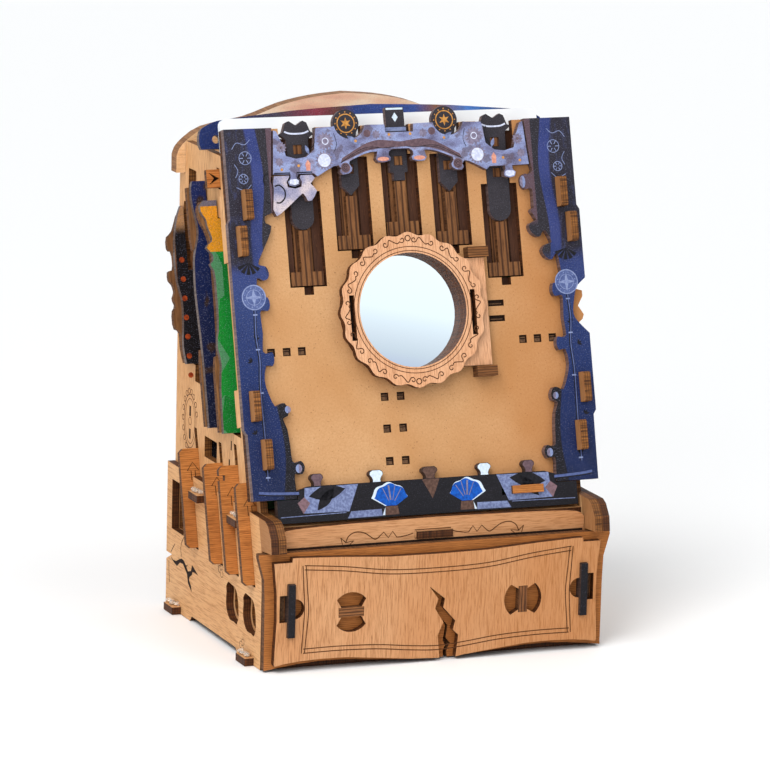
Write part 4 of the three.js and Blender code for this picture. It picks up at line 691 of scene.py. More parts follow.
burnt_line = ink("laser line in plywood", "#41240f", "#5c3519", 0.8)
# One black for deep laser cuts, and also for painted shade: the strip under the fascia and the fills in the
# holes, level slots and arrow cuts.
soot_and_shade = ink("deep laser cut and painted shade", "#1c100a", "#2c1a10", 0.9)
plug_brown = ink("smoked end grain", "#6b4d35", "#463022", 0.8)
black_ink = ink("black print", "#0e0c10", "#1d1a20")
grey_ink = ink("mauve-grey print", "#6b6376", "#857d93")
pale_ink = ink("pale grey print", "#b9bed6", "#d5d9ea")
slate_ink = ink("slate blue print", "#5f688c", "#7f8bb1")
muted_ink = ink("muted slate print", "#8590b4", "#6d79a2")
shadow_ink = ink("dull blue print", "#55628f", "#434f7c")
blue_ink = ink("bright blue print", "#0f55b4", "#0a3f8e")
white_ink = ink("white print", "#cfdde8", "#bfccdb")
gold_ink = ink("ochre print", "#c98f4a", "#a8702f", 0.45)
mauve_ink = ink("mauve-brown print", "#7d6168", "#675054")
dusky_ink = ink("dusky brown print", "#57434a", "#6a545a")
coral_ink = ink("coral print", "#c07e6c", "#d79a84")
orange_ink = ink("orange print", "#a8441a", "#76290f")
brown_ink = ink("brown print", "#4c362e", "#63493e")
print("inks mixed")


# %% Mirror, acrylic and glue
def clear_finish(name, first, second, cells, limits, shader_inputs):
    """A smooth finish whose tint drifts from one colour to another; cells is noise cells per metre."""
    material, tree = new_material(name)
    here = node(tree, "TexCoord").outputs["Object"]
    drift = node(tree, "TexNoise", {"Vector": here, "Scale": cells}).outputs["Fac"]
    tint = coat(tree, first, second, (drift, *limits) if limits else drift)
    shader = node(tree, "BsdfPrincipled", {"Base Color": tint, **shader_inputs})
    node(tree, "OutputMaterial", {0: shader.outputs[0]})
    return material


MIRROR_GLOSS = {"Metallic": 1.0, "Roughness": 0.012}
ACRYLIC_GLOSS = {"Roughness": 0.12, "IOR": 1.49}
GLUE_GLOSS = {"Roughness": 0.08, "IOR": 1.48, "Transmission Weight": 0.7}
mirror = clear_finish("silvered acrylic mirror", "#fafbfc", "#fcfdfe", 12, (), MIRROR_GLOSS)
acrylic = clear_finish("pale cast acrylic", "#fafbfd", "#eef2f6", 30, (0.35, 0.65), ACRYLIC_GLOSS)
glue = clear_finish("clear hot glue", "#f1dcc0", "#fff8ee", 500, (), GLUE_GLOSS)
print("small finishes made")

# %% [markdown]
# ## Dressing the CAD boards
# The boards already have their exact outlines, so each one keeps its mesh and only gets a finish.

# %% Assign finishes to the boards
dress = {
    "base_floor base_deck drawer_bottom front_rail": birch["flat"],
    "base_wall_left base_wall_right drawer_side_left drawer_side_right": birch["side"],
    "case_wall_left case_wall_right front_brace_left front_brace_right": birch["side_up"],
    "base_back_panel case_back_panel drawer_back drawer_front_face": birch["front"],
    "front_fascia": birch["rail"],
    "mirror_ring mirror_plate": birch["leaning"],
    "channel_back_board": birch["channel"],
    "drawer_front_inner": brown["upright"],
    "drawer_grip_left": brown["level_grip"],
    "drawer_grip_right": brown["upright_grip"],
    "arrow_slider_1 arrow_slider_2 arrow_slider_3 arrow_slider_4 arrow_bar skirt_peg": brown["leaning"],
    "hinge_bracket_top hinge_bracket_bottom": brown["bracket"],
    "layer_front_backing layer_middle_backing layer_rear_backing": brown["backing"],
    "front_panel_board": fibreboard,
    "border_left border_right": border_print,
    "border_top": band_print,
    "corner_piece": corner_print,
    "skirt_board drawer_bar_left drawer_bar_right": skirt_print,
    "layer_front": green_print,
    "layer_middle": navy_print,
    "layer_rear": red_print,
    "rear_arch_board": arch_print,
    "mirror_glass": mirror,
    "top_strip": acrylic,
}
for number in range(1, 6):
    dress[f"slider_{number}"] = slider_print
    dress[f"slider_{number}_carriage"] = brown["carriage"]
dressed = set()
for names, material in dress.items():
    for name in names.split():
        for material_slot in nodes[name].material_slots:
            material_slot.material = material
        dressed.add(name)
print(len(dressed), "boards dressed; left:", sorted(set(nodes) - dressed))

# %% [markdown]
# ## Thin inlays
# Printed motifs and engraved lines are modelled as closed slips a few hundredths of a millimetre thick,
# laid on the face of a board. A slip is a filled outline, a ring, or a stroke: a line with a width. They
# keep sharp edges from near and far. First come the outlines, as lists of points in the board's
# millimetres.


# %% Outlines
def around(x, y, radius, degrees):
    """The point at a distance and a direction from a middle."""
    angle = math.radians(degrees)
    return (x + radius * math.cos(angle), y + radius * math.sin(angle))


def oval(x, y, half_width, half_height, steps=20):
    turns = [2 * math.pi * i / steps for i in range(steps)]
    return [(x + half_width * math.cos(t), y + half_height * math.sin(t)) for t in turns]


def circle(x, y, radius, steps=28):
    return oval(x, y, radius, radius, steps)


def arc(x, y, radius, start, end, steps=14):
    return [around(x, y, radius, start + (end - start) * i / steps) for i in range(steps + 1)]


def star(x, y, outer, inner, points):
    """A star with its first point at the top."""
    return [around(x, y, inner if i % 2 else outer, 90 + 180 * i / points) for i in range(2 * points)]


def rectangle(left, right_end, low, high):
    return [(left, low), (right_end, low), (right_end, high), (left, high)]


def mirrored(sign, points):
    """Points drawn on the right half, kept there for a sign of 1 or turned over to the left for -1."""
    return [(sign * x, y) for x, y in points]


print("a circle has", len(circle(0, 0, 1)), "points")


# %% Curves and strokes
def curve_at(a, b, c, d, t):
    """One coordinate of a Catmull-Rom curve, at a share t of the way from b to c."""
    bend = (2 * a - 5 * b + 4 * c - d) * t**2 + (3 * b - a - 3 * c + d) * t**3
    return 0.5 * (2 * b + (c - a) * t + bend)


def smooth_line(points, steps=6):
    """A Catmull-Rom curve through the points."""
    padded = [points[0], *points, points[-1]]
    made = []
    for four in zip(padded, padded[1:], padded[2:], padded[3:]):
        for i in range(steps):
            made.append(tuple(curve_at(*values, i / steps) for values in zip(*four)))
    return [*made, points[-1]]


def stroke(points, width, closed=False):
    """Left and right edges of a line with a width."""
    count = len(points)
    left_edge, right_edge = [], []
    for i, point in enumerate(points):
        before = points[i - 1] if i or closed else point
        after = points[(i + 1) % count] if i < count - 1 or closed else point
        ahead = Vector(after) - Vector(before)
        if ahead.length == 0:
            ahead = Vector((1, 0))
        side_step = Vector((-ahead.y, ahead.x)).normalized() * width / 2
        left_edge.append(tuple(Vector(point) + side_step))
        right_edge.append(tuple(Vector(point) - side_step))
    return left_edge, right_edge


print("a bent line has", len(smooth_line(((0, 0), (1, 1), (2, 0)))), "points")

# %% Slips
INLAY_MM, UNDER_MM, OVER_MM = 0.05, 0.03, 0.08


class Slips:
    """Collects flat shapes on one board face and makes one closed mesh of them."""

    def __init__(self, plane, level, thickness=INLAY_MM):
        self.plane, self.low, self.high = plane, level, level + thickness
        self.mesh = bmesh.new()

    def wall(self, left_edge, right_edge, closed):
        """A strip between two edges, closed round or with two ends."""
        rows = [
            [self.mesh.verts.new(at(self.plane, *point, out)) for point in edge]
            for edge in (left_edge, right_edge)
            for out in (self.low, self.high)
        ]
        left_low, left_high, right_low, right_high = rows
        count = len(left_edge)
        for i in range(count if closed else count - 1):
            j = (i + 1) % count
            self.mesh.faces.new((left_high[i], left_high[j], right_high[j], right_high[i]))
            self.mesh.faces.new((left_low[j], left_low[i], right_low[i], right_low[j]))
            self.mesh.faces.new((left_low[i], left_low[j], left_high[j], left_high[i]))
            self.mesh.faces.new((right_low[j], right_low[i], right_high[i], right_high[j]))
        if not closed:
            for i in (0, count - 1):
                self.mesh.faces.new((left_low[i], left_high[i], right_high[i], right_low[i]))

    def line(self, points, width, closed=False):
        self.wall(*stroke(points, width, closed), closed)

    def ring(self, x, y, outer, inner, steps=36):
        self.wall(circle(x, y, outer, steps), circle(x, y, inner, steps), True)

    def fill(self, outline):
        low = [self.mesh.verts.new(at(self.plane, *point, self.low)) for point in outline]
        high = [self.mesh.verts.new(at(self.plane, *point, self.high)) for point in outline]
        self.mesh.faces.new(low[::-1])
        self.mesh.faces.new(high)
        for i in range(len(outline)):
            self.mesh.faces.new((low[i - 1], low[i], high[i], high[i - 1]))

    def lay(self, name, material, body, slot):
        """Makes the piece and lets it ride on its body; the slot argument is not used."""
        bmesh.ops.recalc_face_normals(self.mesh, faces=self.mesh.faces)
        place_piece(name, self.mesh, material, body)


def place_piece(name, mesh, material, body):
    data = bpy.data.meshes.new(name)
    mesh.to_mesh(data)
    mesh.free()
    data.materials.append(material)
    piece = bpy.data.objects.new(name, data)
    scene.collection.objects.link(piece)
    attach(piece, body)


print("an inlay is", INLAY_MM, "mm thick")

# %% [markdown]
# ## Engraving on the drawer
# The drawer face has a double line round it that follows its waisted outline. The notches at its sides
# show smoked wood behind them.

# %% Drawer frame
FACE_LEVEL, NOTCH_LEVEL = 63.25, 60
FRAME_GAP = 1.8
FRAME_WIDTH = 0.4
OUTER_TOP = ((0, 40.0), (22, 40.6), (42, 43.3), (60, 45.0))
OUTER_BOTTOM = ((0, 4.8), (12, 5.6), (27, 7.2), (44, 7.9), (60, 7.8))
SIDE_HEIGHTS = (45.0, 36, 26, 16, 7.8)
SIDE_ENDS_AND_WAISTS = ((60.8, 59.7), (59.4, 57.9))


def both_halves(half):
    """A line drawn from the middle to the right, with its mirror image before it."""
    return [(-x, y) for x, y in half[:0:-1]] + list(half)


drawer_lines = Slips("upright", FACE_LEVEL)
for half, inward in ((OUTER_TOP, -FRAME_GAP), (OUTER_BOTTOM, FRAME_GAP)):
    for shift in (0, inward):
        run = both_halves([(x, y + shift) for x, y in half])
        drawer_lines.line(smooth_line(run, 5), FRAME_WIDTH)
for sign in (-1, 1):
    for end, waist in SIDE_ENDS_AND_WAISTS:
        between = (end + waist) / 2
        run = mirrored(sign, zip((end, between, waist, between, end), SIDE_HEIGHTS))
        drawer_lines.line(smooth_line(run, 5), FRAME_WIDTH)
drawer_lines.lay("drawer_engraving", burnt_line, "drawer", "burnt_ply")

NOTCH = rectangle(67.5, 70.5, 21.6, 32.6)
plugs = Slips("upright", NOTCH_LEVEL)
for sign in (-1, 1):
    plugs.fill(mirrored(sign, NOTCH))
plugs.lay("drawer_notch_plugs", plug_brown, "drawer", "burnt_ply")
print("drawer engraved")

# %% [markdown]
# ## Engraving on the fascia
# The board above the drawer has a wavy line with a zigzag, ending in a curl and an arrow head at each
# side, and a burnt outline round the tenon in its middle. A dark strip along its lower edge is painted
# shadow, where the fascia meets the drawer.

# %% Fascia scroll
FASCIA_LEVEL = 55.4
SCROLL_WIDTH = 0.42
WAVE = ((8.8, 53.5), (11.5, 52.8), (14.6, 52.3))
ZIGZAG = ((16.2, 52.3), (18.1, 54.9), (20.0, 52.3), (22.1, 54.8))
CURL = ((24.8, 52.4), (26.4, 52.2), (30.7, 55.0), (34.8, 55.6), (37.7, 54.1), (39.0, 51.5))
ARROW_HEAD = ((39.0, 51.5), (41.2, 53.6), (39.8, 48.4), (35.4, 52.0), (39.0, 51.5))
TENON = rectangle(-8.1, 8.1, 51.3, 54.8)
# Where the painted shadow along the fascia's lower edge lies.
FASCIA_JUNCTION_SHADOW = rectangle(-68.4, 68.4, 48.9, 50.6)
fascia_lines = Slips("upright", FASCIA_LEVEL)
for sign in (-1, 1):
    scroll = [*smooth_line(WAVE, 4), *ZIGZAG, *smooth_line(CURL)]
    fascia_lines.line(mirrored(sign, scroll), SCROLL_WIDTH)
    fascia_lines.line(mirrored(sign, ARROW_HEAD), SCROLL_WIDTH)
fascia_lines.line(TENON, FRAME_WIDTH, closed=True)
fascia_lines.lay("fascia_engraving", burnt_line, "box", "burnt_ply")
# Painted shadow: a dark strip along the fascia's lower edge, where it meets the drawer.
fascia_shadow_strip = Slips("upright", FASCIA_LEVEL)
fascia_shadow_strip.fill(FASCIA_JUNCTION_SHADOW)
fascia_shadow_strip.lay("fascia_painted_shadow", soot_and_shade, "box", "burnt_ply")
print("fascia engraved")

# %% [markdown]
# ## The carved look of the mirror ring
# The ring is flat board with a lobed edge. Two fine circles run round the bore, and pairs of curls joined
# by a bow follow the lobes, with a plain round boss at the top and the bottom. The laser burnt these lines
# deep, so they are dark and almost half a millimetre wide. The two slits are dark inside.

# %% Scrolls round the mirror
MIRROR_U, MIRROR_V = -1.5, 75.3
RING_LEVEL = 3.25
BORE_LINES = (26.5, 24.8)
SCROLL_COUNT = 14
CURL_RADIUS, CURL_SIZE = 29.5, 1.3
CURL_START = 5.2
ring_lines = Slips("leaning", RING_LEVEL)
for radius in BORE_LINES:
    ring_lines.line(circle(MIRROR_U, MIRROR_V, radius, 96), 0.3, closed=True)


def on_ring(radius, degrees):
    return around(MIRROR_U, MIRROR_V, radius, degrees)


def scroll_curl(degrees, turn):
    """A small spiral on the ring, from its middle out."""
    shares = [i / 12 for i in range(13)]
    middle = on_ring(CURL_RADIUS, degrees)
    return [around(*middle, CURL_SIZE * (0.3 + 0.7 * t), degrees + turn * (90 - 330 * t)) for t in shares]


for i in range(SCROLL_COUNT):
    step = 360 / SCROLL_COUNT
    start = 90 + step * i
    if i in (0, SCROLL_COUNT // 2):
        ring_lines.line(circle(*on_ring(30.0, start), 1.15, 20), 0.42, closed=True)
    first, second = start + CURL_START, start + step - CURL_START
    left_curl, right_curl = scroll_curl(first, 1), scroll_curl(second, -1)
    bow_places = ((28.3, first + 4.6), (29.2, start + step / 2), (30.6, second - 4.2))
    bow_points = [left_curl[-1], *(on_ring(*spot) for spot in bow_places), right_curl[-1]]
    bow = smooth_line(bow_points, 5)
    ring_lines.line(left_curl + bow[1:-1] + right_curl[::-1], 0.4)
ring_lines.lay("mirror_ring_scrolls", burnt_line, "mirror_door", "burnt_ply")
print("scrolls on the ring:", SCROLL_COUNT)

# %% Strips in the slits
SLIT_LEVEL = 0.4
SLIT_OFFSET = 27.2
SLIT_HALF = 1
SLIT_LOW, SLIT_HIGH = MIRROR_V - 11.6, MIRROR_V + 7.2
slits = Slips("leaning", SLIT_LEVEL)
for middle in (MIRROR_U - SLIT_OFFSET, MIRROR_U + SLIT_OFFSET):
    slits.fill(rectangle(middle - SLIT_HALF, middle + SLIT_HALF, SLIT_LOW, SLIT_HIGH))
slits.lay("ring_slit_strips", soot_and_shade, "mirror_door", "burnt_ply")
print("slits", 2 * SLIT_HALF, "mm wide")

# %% [markdown]
# ## Pegs in the small holes
# The square holes of the tan board hold the ends of brown pegs, a little below the face. Dark fills in the
# holes and the two level slots are painted shade, and so is the dark in the arrow cut at each end of the
# bar across the case.

# %% Peg ends and strips
HOLE_LEVEL, HOLE_HALF = -4.6, 1.75
PEG_RISE, PEG_HALF = 0.5, 1.2
PEG_PLACES = [(sign * u, 61) for sign in (-1, 1) for u in (50, 56.7, 63.6)]
PEG_PLACES += [(u, v) for u in (-14.8, -7.6) for v in (13.2, 26.8, 40.1)]
PEG_STRIPES = ((-1.35, 0.1), (0.5, 0.95))
# Painted shade: a dark fill inside each square hole and level slot.
hole_shade = Slips("leaning", HOLE_LEVEL)
peg_ends = Slips("leaning", HOLE_LEVEL, PEG_RISE)
for u, v in PEG_PLACES:
    hole_shade.fill(rectangle(u - HOLE_HALF, u + HOLE_HALF, v - HOLE_HALF, v + HOLE_HALF))
    for low, high in PEG_STRIPES:
        peg_ends.fill(rectangle(u - PEG_HALF, u + PEG_HALF, v + low, v + high))
for v in (70.3, 76.8):
    hole_shade.fill(rectangle(35.3, 42.6, v - 1.35, v + 1.35))
    peg_ends.fill(rectangle(36.2, 41.6, v - 0.5, v - 0.1))
hole_shade.lay("hole_shades", soot_and_shade, "box", "burnt_ply")
peg_ends.lay("peg_ends", plug_brown, "box", "burnt_ply")
print(len(PEG_PLACES), "pegs")

# %% Painted shade inside the arrow cuts
ARROW_CUT_LEVEL = -26.75
ARROW_CUT = rectangle(72.7, 77.9, 133.7, 139.3)
# Painted shade inside each arrow cut.
arrow_shade = Slips("leaning", ARROW_CUT_LEVEL)
for sign in (-1, 1):
    arrow_shade.fill(mirrored(sign, ARROW_CUT))
arrow_shade.lay("arrow_cut_shades", soot_and_shade, "box", "burnt_ply")
print("arrow cuts shaded")

# %% [markdown]
# ## Motifs on the borders
# The print on the borders is our own: a compass star in a ring of dots, a thin stem down to the foot with
# small leaves beside it, a dark fan above and two small wheels with loose curls at the top. All are
# given for the right border and set on the left one too. Pale slips lie highest, then the stems, then
# the black ones.

# %% Border motif shapes
BOARD_LEVEL = 0.0
STEM_MM, SHADE_MM = 0.06, 0.04
pale = Slips("leaning", BOARD_LEVEL, OVER_MM)
dark = Slips("leaning", BOARD_LEVEL, SHADE_MM)
dusk = Slips("leaning", BOARD_LEVEL, STEM_MM)


def leaf(x, y, length, width, degrees):
    """A pointed leaf from its stalk."""
    angle = math.radians(degrees)
    outline = []
    for i in range(12):
        t = i / 6 if i <= 6 else (12 - i) / 6
        half = width / 2 * math.sin(math.pi * t) * (1 if i <= 6 else -1)
        ahead = t * length
        across = x + ahead * math.cos(angle) - half * math.sin(angle)
        outline.append((across, y + ahead * math.sin(angle) + half * math.cos(angle)))
    return outline


def leaning_to(sign, degrees):
    """A direction drawn for the right half, turned over for the left."""
    return degrees if sign > 0 else 180 - degrees


def sprig(slips, x, y, length, lean):
    """Three small leaves from one stalk."""
    for spread in (-38, 0, 38):
        slips.fill(leaf(x, y, length, length * 0.36, lean + spread))


print("a leaf has", len(leaf(0, 0, 1, 1, 0)), "points")

# %% Compass star, stem and sprigs
STAR_U, STAR_V = 70.6, 84
STAR_POINT, STAR_NOTCH = 4.0, 1.1
OUTER_RING, INNER_RING = (5.3, 4.8), (3.3, 3.05)
DOT_COUNT, DOT_REACH, DOT_RADIUS = 12, 4.1, 0.24
STEM = ((0, 78.6), (0.5, 68), (-0.4, 58), (0.3, 46), (0, 24), (0.2, 8))
STEM_JOINTS = (76.8, 62.4, 44.4, 9.4)
FOOT_TUBE = ((75.2, 3.2), (70, 2.6), (63, 2.2), (57.6, 2.0))
SPRIG_PLACES = ((71.4, 66.5, 120), (73.4, 57.5, 30), (74.2, 27.5, 60), (70.9, 11, 100))
for sign in (-1, 1):
    u = sign * STAR_U
    dusk.fill(circle(u, STAR_V, OUTER_RING[0], 40))
    pale.ring(u, STAR_V, *OUTER_RING, 40)
    pale.fill(star(u, STAR_V, STAR_POINT, STAR_NOTCH, 4))
    pale.ring(u, STAR_V, *INNER_RING, 32)
    for i in range(DOT_COUNT):
        pale.fill(circle(*around(u, STAR_V, DOT_REACH, 30 * i + 15), DOT_RADIUS, 6))
    stem = smooth_line(mirrored(sign, [(STAR_U + x, y) for x, y in STEM]))
    dark.line(stem, 1.25)
    dusk.line([(x + 0.1, y) for x, y in stem], 0.5)
    for joint_v in STEM_JOINTS:
        pale.fill(rectangle(u - 0.95, u + 0.95, joint_v - 0.3, joint_v + 0.3))
    foot = smooth_line(mirrored(sign, FOOT_TUBE))
    dark.line(foot, 1.7)
    dusk.line([(x, y + 0.2) for x, y in foot], 1.1)
    for x, y, lean in SPRIG_PLACES:
        sprig(dark, sign * x, y, 2.2, leaning_to(sign, lean))
print("stem joints:", len(STEM_JOINTS))

# %% Fans, wheels and curls
FAN_U, FAN_V = 71.6, 98.4
BLADE_COUNT, FAN_START, FAN_STEP = 5, 196, 29
WHEELS = ((69.6, 141.8, 2.7), (71.0, 133.2, 2.0))
CURLS = (
    (((67, 149.4), (69.5, 147.4), (73, 148.2), (75.2, 145.6)), 0.26),
    (((67.8, 130.6), (70.6, 128.4), (74.4, 129.8)), 0.26),
    (((74.6, 139.4), (73.2, 136.6), (74.4, 133.8)), 0.24),
)
for sign in (-1, 1):
    for i in range(BLADE_COUNT):
        turns = [math.radians(FAN_START + FAN_STEP * i + more) for more in (0, 10, 20)]
        rim = [(sign * FAN_U + 5.4 * math.cos(t), FAN_V + 5.0 * math.sin(t)) for t in turns]
        dark.fill([(sign * FAN_U, FAN_V), *rim])
    for x, y, size in WHEELS:
        for degrees in range(0, 360, 60):
            spoke = [around(sign * x, y, size * share, degrees) for share in (0.35, 1)]
            pale.line(spoke, 0.3)
        pale.line(circle(sign * x, y, size, 26), 0.26, closed=True)
    for points, width in CURLS:
        pale.line(smooth_line(mirrored(sign, points)), width)
pale.lay("border_pale_motifs", muted_ink, "box", "printed_blue")
dusk.lay("border_stems", shadow_ink, "box", "printed_blue")
dark.lay("border_dark_motifs", black_ink, "box", "printed_blue")
print("border motifs laid")

# %% [markdown]
# ## Pale patches on the knobs
# The round knobs on the inner side of the borders carry an oval patch, grey all over and paler on its
# outer half.

# %% Knob patches
KNOB_PATCHES = (
    (1, ((54.2, 127.2, 1.25, 2.6), (56.6, 12.4, 1.4, 1.8), (61.4, 36.2, 1.2, 1.5))),
    (-1, ((56.8, 12.4, 1.4, 1.8), (59.6, 37.0, 1.3, 1.5))),
)
knob_colours = Slips("leaning", BOARD_LEVEL)
knob_halves = Slips("leaning", BOARD_LEVEL, OVER_MM)
for sign, patches in KNOB_PATCHES:
    for x, y, half_width, half_height in patches:
        patch = oval(sign * x, y, half_width, half_height)
        knob_colours.fill(patch)
        knob_halves.fill([(a, b) for a, b in patch if (a - sign * x) * sign >= -0.01])
knob_colours.lay("border_knob_patches", grey_ink, "box", "printed_blue")
knob_halves.lay("border_knob_halves", muted_ink, "box", "printed_blue")
print("knob patches laid")

# %% [markdown]
# ## Motifs on the top band
# Rosettes, pale discs and rivets stand between the bays for the slider heads. Dusky swooshes sweep from
# the middle to each side, and small leaves, coral tips and pale knob faces fill the gaps.

# %% Slips of the band and a rosette
rosettes = Slips("leaning", BOARD_LEVEL)
rims = Slips("leaning", BOARD_LEVEL, OVER_MM)
rivets = Slips("leaning", BOARD_LEVEL)
seams = Slips("leaning", BOARD_LEVEL)
plates = Slips("leaning", BOARD_LEVEL, UNDER_MM)
swooshes = Slips("leaning", BOARD_LEVEL, UNDER_MM)
tips = Slips("leaning", BOARD_LEVEL)
knob_whites = Slips("leaning", BOARD_LEVEL)


def rosette(x, y, outer, petals):
    """The outline of a round flower whose edge swells once for each petal."""
    angles = [360 * i / (petals * 8) for i in range(petals * 8)]
    return [around(x, y, outer * (0.86 + 0.14 * math.cos(math.radians(petals * a))), a) for a in angles]


print("a rosette has", len(rosette(0, 0, 1, 8)), "points")

# %% Rosettes, discs and rivets
ROSETTES = (
    (33.6, 147.6, 3.9, 14),
    (34.6, 139.6, 4.1, 16),
    (10.6, 149.6, 1.9, 8),
    (53.4, 145.6, 2.4, 10),
    (54.6, 139.6, 1.9, 8),
)
RIVETS = ((53.8, 136.4), (46.2, 137.8), (53.4, 145.6), (20.0, 147.2), (4.8, 149.4))
KNOB_WHITE = (
    (46.6, 131.7),
    (46.8, 130.3),
    (48.5, 129.7),
    (50.6, 130.2),
    (51.1, 131.5),
    (50.2, 132.2),
    (47.6, 132.3),
)
CORAL_TIP = ((42.9, 135.6), (41.1, 135.6), (40.9, 138.6), (42, 140.2), (43.1, 138.6))
for sign in (-1, 1):
    for x, y, outer, petals in ROSETTES:
        rosettes.fill(rosette(sign * x, y, outer, petals))
    rims.ring(sign * 33.6, 147.6, 1.5, 1.1)
    rims.fill(circle(sign * 34.6, 139.6, 2.8, 30))
    seams.ring(sign * 34.6, 139.6, 2.25, 2.0)
    for x, y in RIVETS:
        rivets.fill(circle(sign * x, y, 0.6, 14))
    plates.fill(leaf(sign * 18.6, 145.6, 6.4, 2.3, leaning_to(sign, 38)))
    plates.fill(leaf(sign * 41.2, 142.4, 4.2, 1.6, leaning_to(sign, 70)))
    tips.fill(mirrored(sign, CORAL_TIP))
    tips.fill(oval(sign * 8.2, 139.2, 2.6, 0.9))
    knob_whites.fill(mirrored(sign, KNOB_WHITE))
print("rosettes:", 2 * len(ROSETTES))

# %% Swooshes and fine lines
SWOOSH_LOW = (
    (27.4, 138.2),
    (23.8, 139.6),
    (20.2, 141.1),
    (16.5, 142.5),
    (12.6, 143.4),
    (8, 143.8),
    (3, 144.1),
    (0, 144.1),
)
SWOOSH_HIGH = ((0, 146.3), (5, 146.9), (10, 147.3), (15, 146.2), (19, 144.4), (23, 142.2), (27.4, 139.8))
SWOOSH_SWELL = 2.6
FINE_LINES = (
    (((39.4, 151.6), (38.4, 147.4), (40.6, 144.2)), 0.3),
    (((29.6, 150.8), (28.6, 146.4), (29.8, 143.2)), 0.22),
)
for sign in (-1, 1):
    swooshes.fill(mirrored(sign, smooth_line(SWOOSH_LOW, 4) + smooth_line(SWOOSH_HIGH, 4)[:-1]))
    swooshes.fill(circle(sign * 25.4, 136.2, 2.1, 24))
    swooshes.fill(circle(sign * 14.6, 150.2, 1.6, 20))
    for share in (0.3, 0.6):
        swells = [math.sin(math.pi * min(1, (28 - x) / 20)) for x, y in SWOOSH_LOW[:-1]]
        rib = [(x, y + share * SWOOSH_SWELL * swell) for (x, y), swell in zip(SWOOSH_LOW, swells)]
        seams.line(mirrored(sign, smooth_line(rib, 4)), 0.2)
    for radius in (0.7, 1.4):
        seams.line(arc(sign * 25.4, 136.2, radius, 20, 320), 0.2)
    for points, width in FINE_LINES:
        seams.line(smooth_line(mirrored(sign, points), 5), width)
print("swoosh points:", len(SWOOSH_LOW) + len(SWOOSH_HIGH))

# %% The lock line and laying the band's slips
LOCK_LINE = (
    (-57.4, 134.95),
    (-50.3, 134.95),
    (-50.6, 133.0),
    (-51.05, 131.6),
    (-50.5, 130.3),
    (-48.5, 129.7),
    (-46.8, 130.4),
    (-46.5, 131.7),
    (-47.3, 133.0),
    (-47.3, 134.95),
    (-40.4, 134.95),
)
seams.line(LOCK_LINE, 0.5)
for name, slips, colour in (
    ("band_rosettes", rosettes, grey_ink),
    ("band_rims", rims, pale_ink),
    ("band_rivets", rivets, gold_ink),
    ("band_seams", seams, black_ink),
    ("band_leaves", plates, slate_ink),
    ("band_swooshes", swooshes, dusky_ink),
    ("band_coral_tips", tips, coral_ink),
    ("band_knob_whites", knob_whites, pale_ink),
):
    slips.lay(name, colour, "box", "printed_grey_blue")
print("band motifs laid")

# %% [markdown]
# ## Seams of the loose corner piece
# Thick black lines show where the loose puzzle piece in the corner would lock into its neighbours.

# %% Corner and border seams
SEAM_WIDTH = 0.6
CORNER_SEAM = (
    (-57.6, 129.6),
    (-55.4, 130.0),
    (-53.3, 127.8),
    (-53.4, 124.8),
    (-55.4, 122.8),
    (-57.3, 122.8),
)
BORDER_SEAMS = (
    ((-60.0, 135.0), (-61.6, 134.4), (-62.2, 132.4), (-61.8, 130.2)),
    ((-60.1, 122.6), (-61.0, 122.8), (-61.6, 123.8)),
)
corner_lines = Slips("leaning", BOARD_LEVEL)
corner_lines.line(smooth_line(CORNER_SEAM), SEAM_WIDTH)
corner_lines.lay("corner_seams", black_ink, "box", "printed_grey_blue")
border_lines = Slips("leaning", BOARD_LEVEL, OVER_MM)
for points in BORDER_SEAMS:
    border_lines.line(smooth_line(points), SEAM_WIDTH)
border_lines.lay("border_seams", black_ink, "box", "printed_blue")
print("seams laid")

# %% [markdown]
# ## Marks on the sliders
# The round heads carry an ochre ring with a small star and dots round it, the square one a level band, a
# white lozenge and a bar, and the brimmed ones a pale band.

# %% Slider marks
SLIDER_LEVEL = -3.8
CHANNEL_PITCH = 22.3
HEAD_MIDDLE = 155.2
ROUND_HEADS = ((2, "slider_two"), (4, "slider_four"))
BRIMMED_HEADS = ((1, "slider_one"), (5, "slider_five"))
HEAD_BAND = ((-5.4, 152.6), (-2.6, 151.7), (2.6, 151.7), (5.4, 152.6))
HEAD_RING, HEAD_STAR = (4.1, 3.6), (2.5, 1.1)
HEAD_DOTS, HEAD_DOT_REACH, HEAD_DOT_RADIUS = 12, 4.75, 0.3
for number, body in ROUND_HEADS:
    middle = (number - 3) * CHANNEL_PITCH
    ring_mark = Slips("leaning", SLIDER_LEVEL)
    ring_mark.ring(middle, HEAD_MIDDLE, *HEAD_RING)
    ring_mark.fill(star(middle, HEAD_MIDDLE, *HEAD_STAR, 6))
    for i in range(HEAD_DOTS):
        dot = around(middle, HEAD_MIDDLE, HEAD_DOT_REACH, 30 * i)
        ring_mark.fill(circle(*dot, HEAD_DOT_RADIUS, 8))
    ring_mark.lay(f"slider_{number}_mark", gold_ink, body, "charcoal_board")
for number, body in BRIMMED_HEADS:
    middle = (number - 3) * CHANNEL_PITCH
    band_mark = Slips("leaning", SLIDER_LEVEL)
    band_mark.line(smooth_line([(middle + x, y) for x, y in HEAD_BAND]), 0.7)
    band_mark.lay(f"slider_{number}_mark", pale_ink, body, "charcoal_board")
SQUARE_BAND, SQUARE_BAR = rectangle(-4.6, 4.6, 151.2, 152.8), rectangle(-3.8, 3.8, 160.2, 161.0)
LOZENGE = star(0, 157, 2.0, 1.35, 2)
square_mark = Slips("leaning", SLIDER_LEVEL)
square_mark.fill(SQUARE_BAND)
square_mark.lay("slider_3_band", muted_ink, "slider_three", "charcoal_board")
lozenge = Slips("leaning", SLIDER_LEVEL)
lozenge.fill(LOZENGE)
lozenge.fill(SQUARE_BAR)
lozenge.lay("slider_3_mark", white_ink, "slider_three", "charcoal_board")
print("slider marks laid")

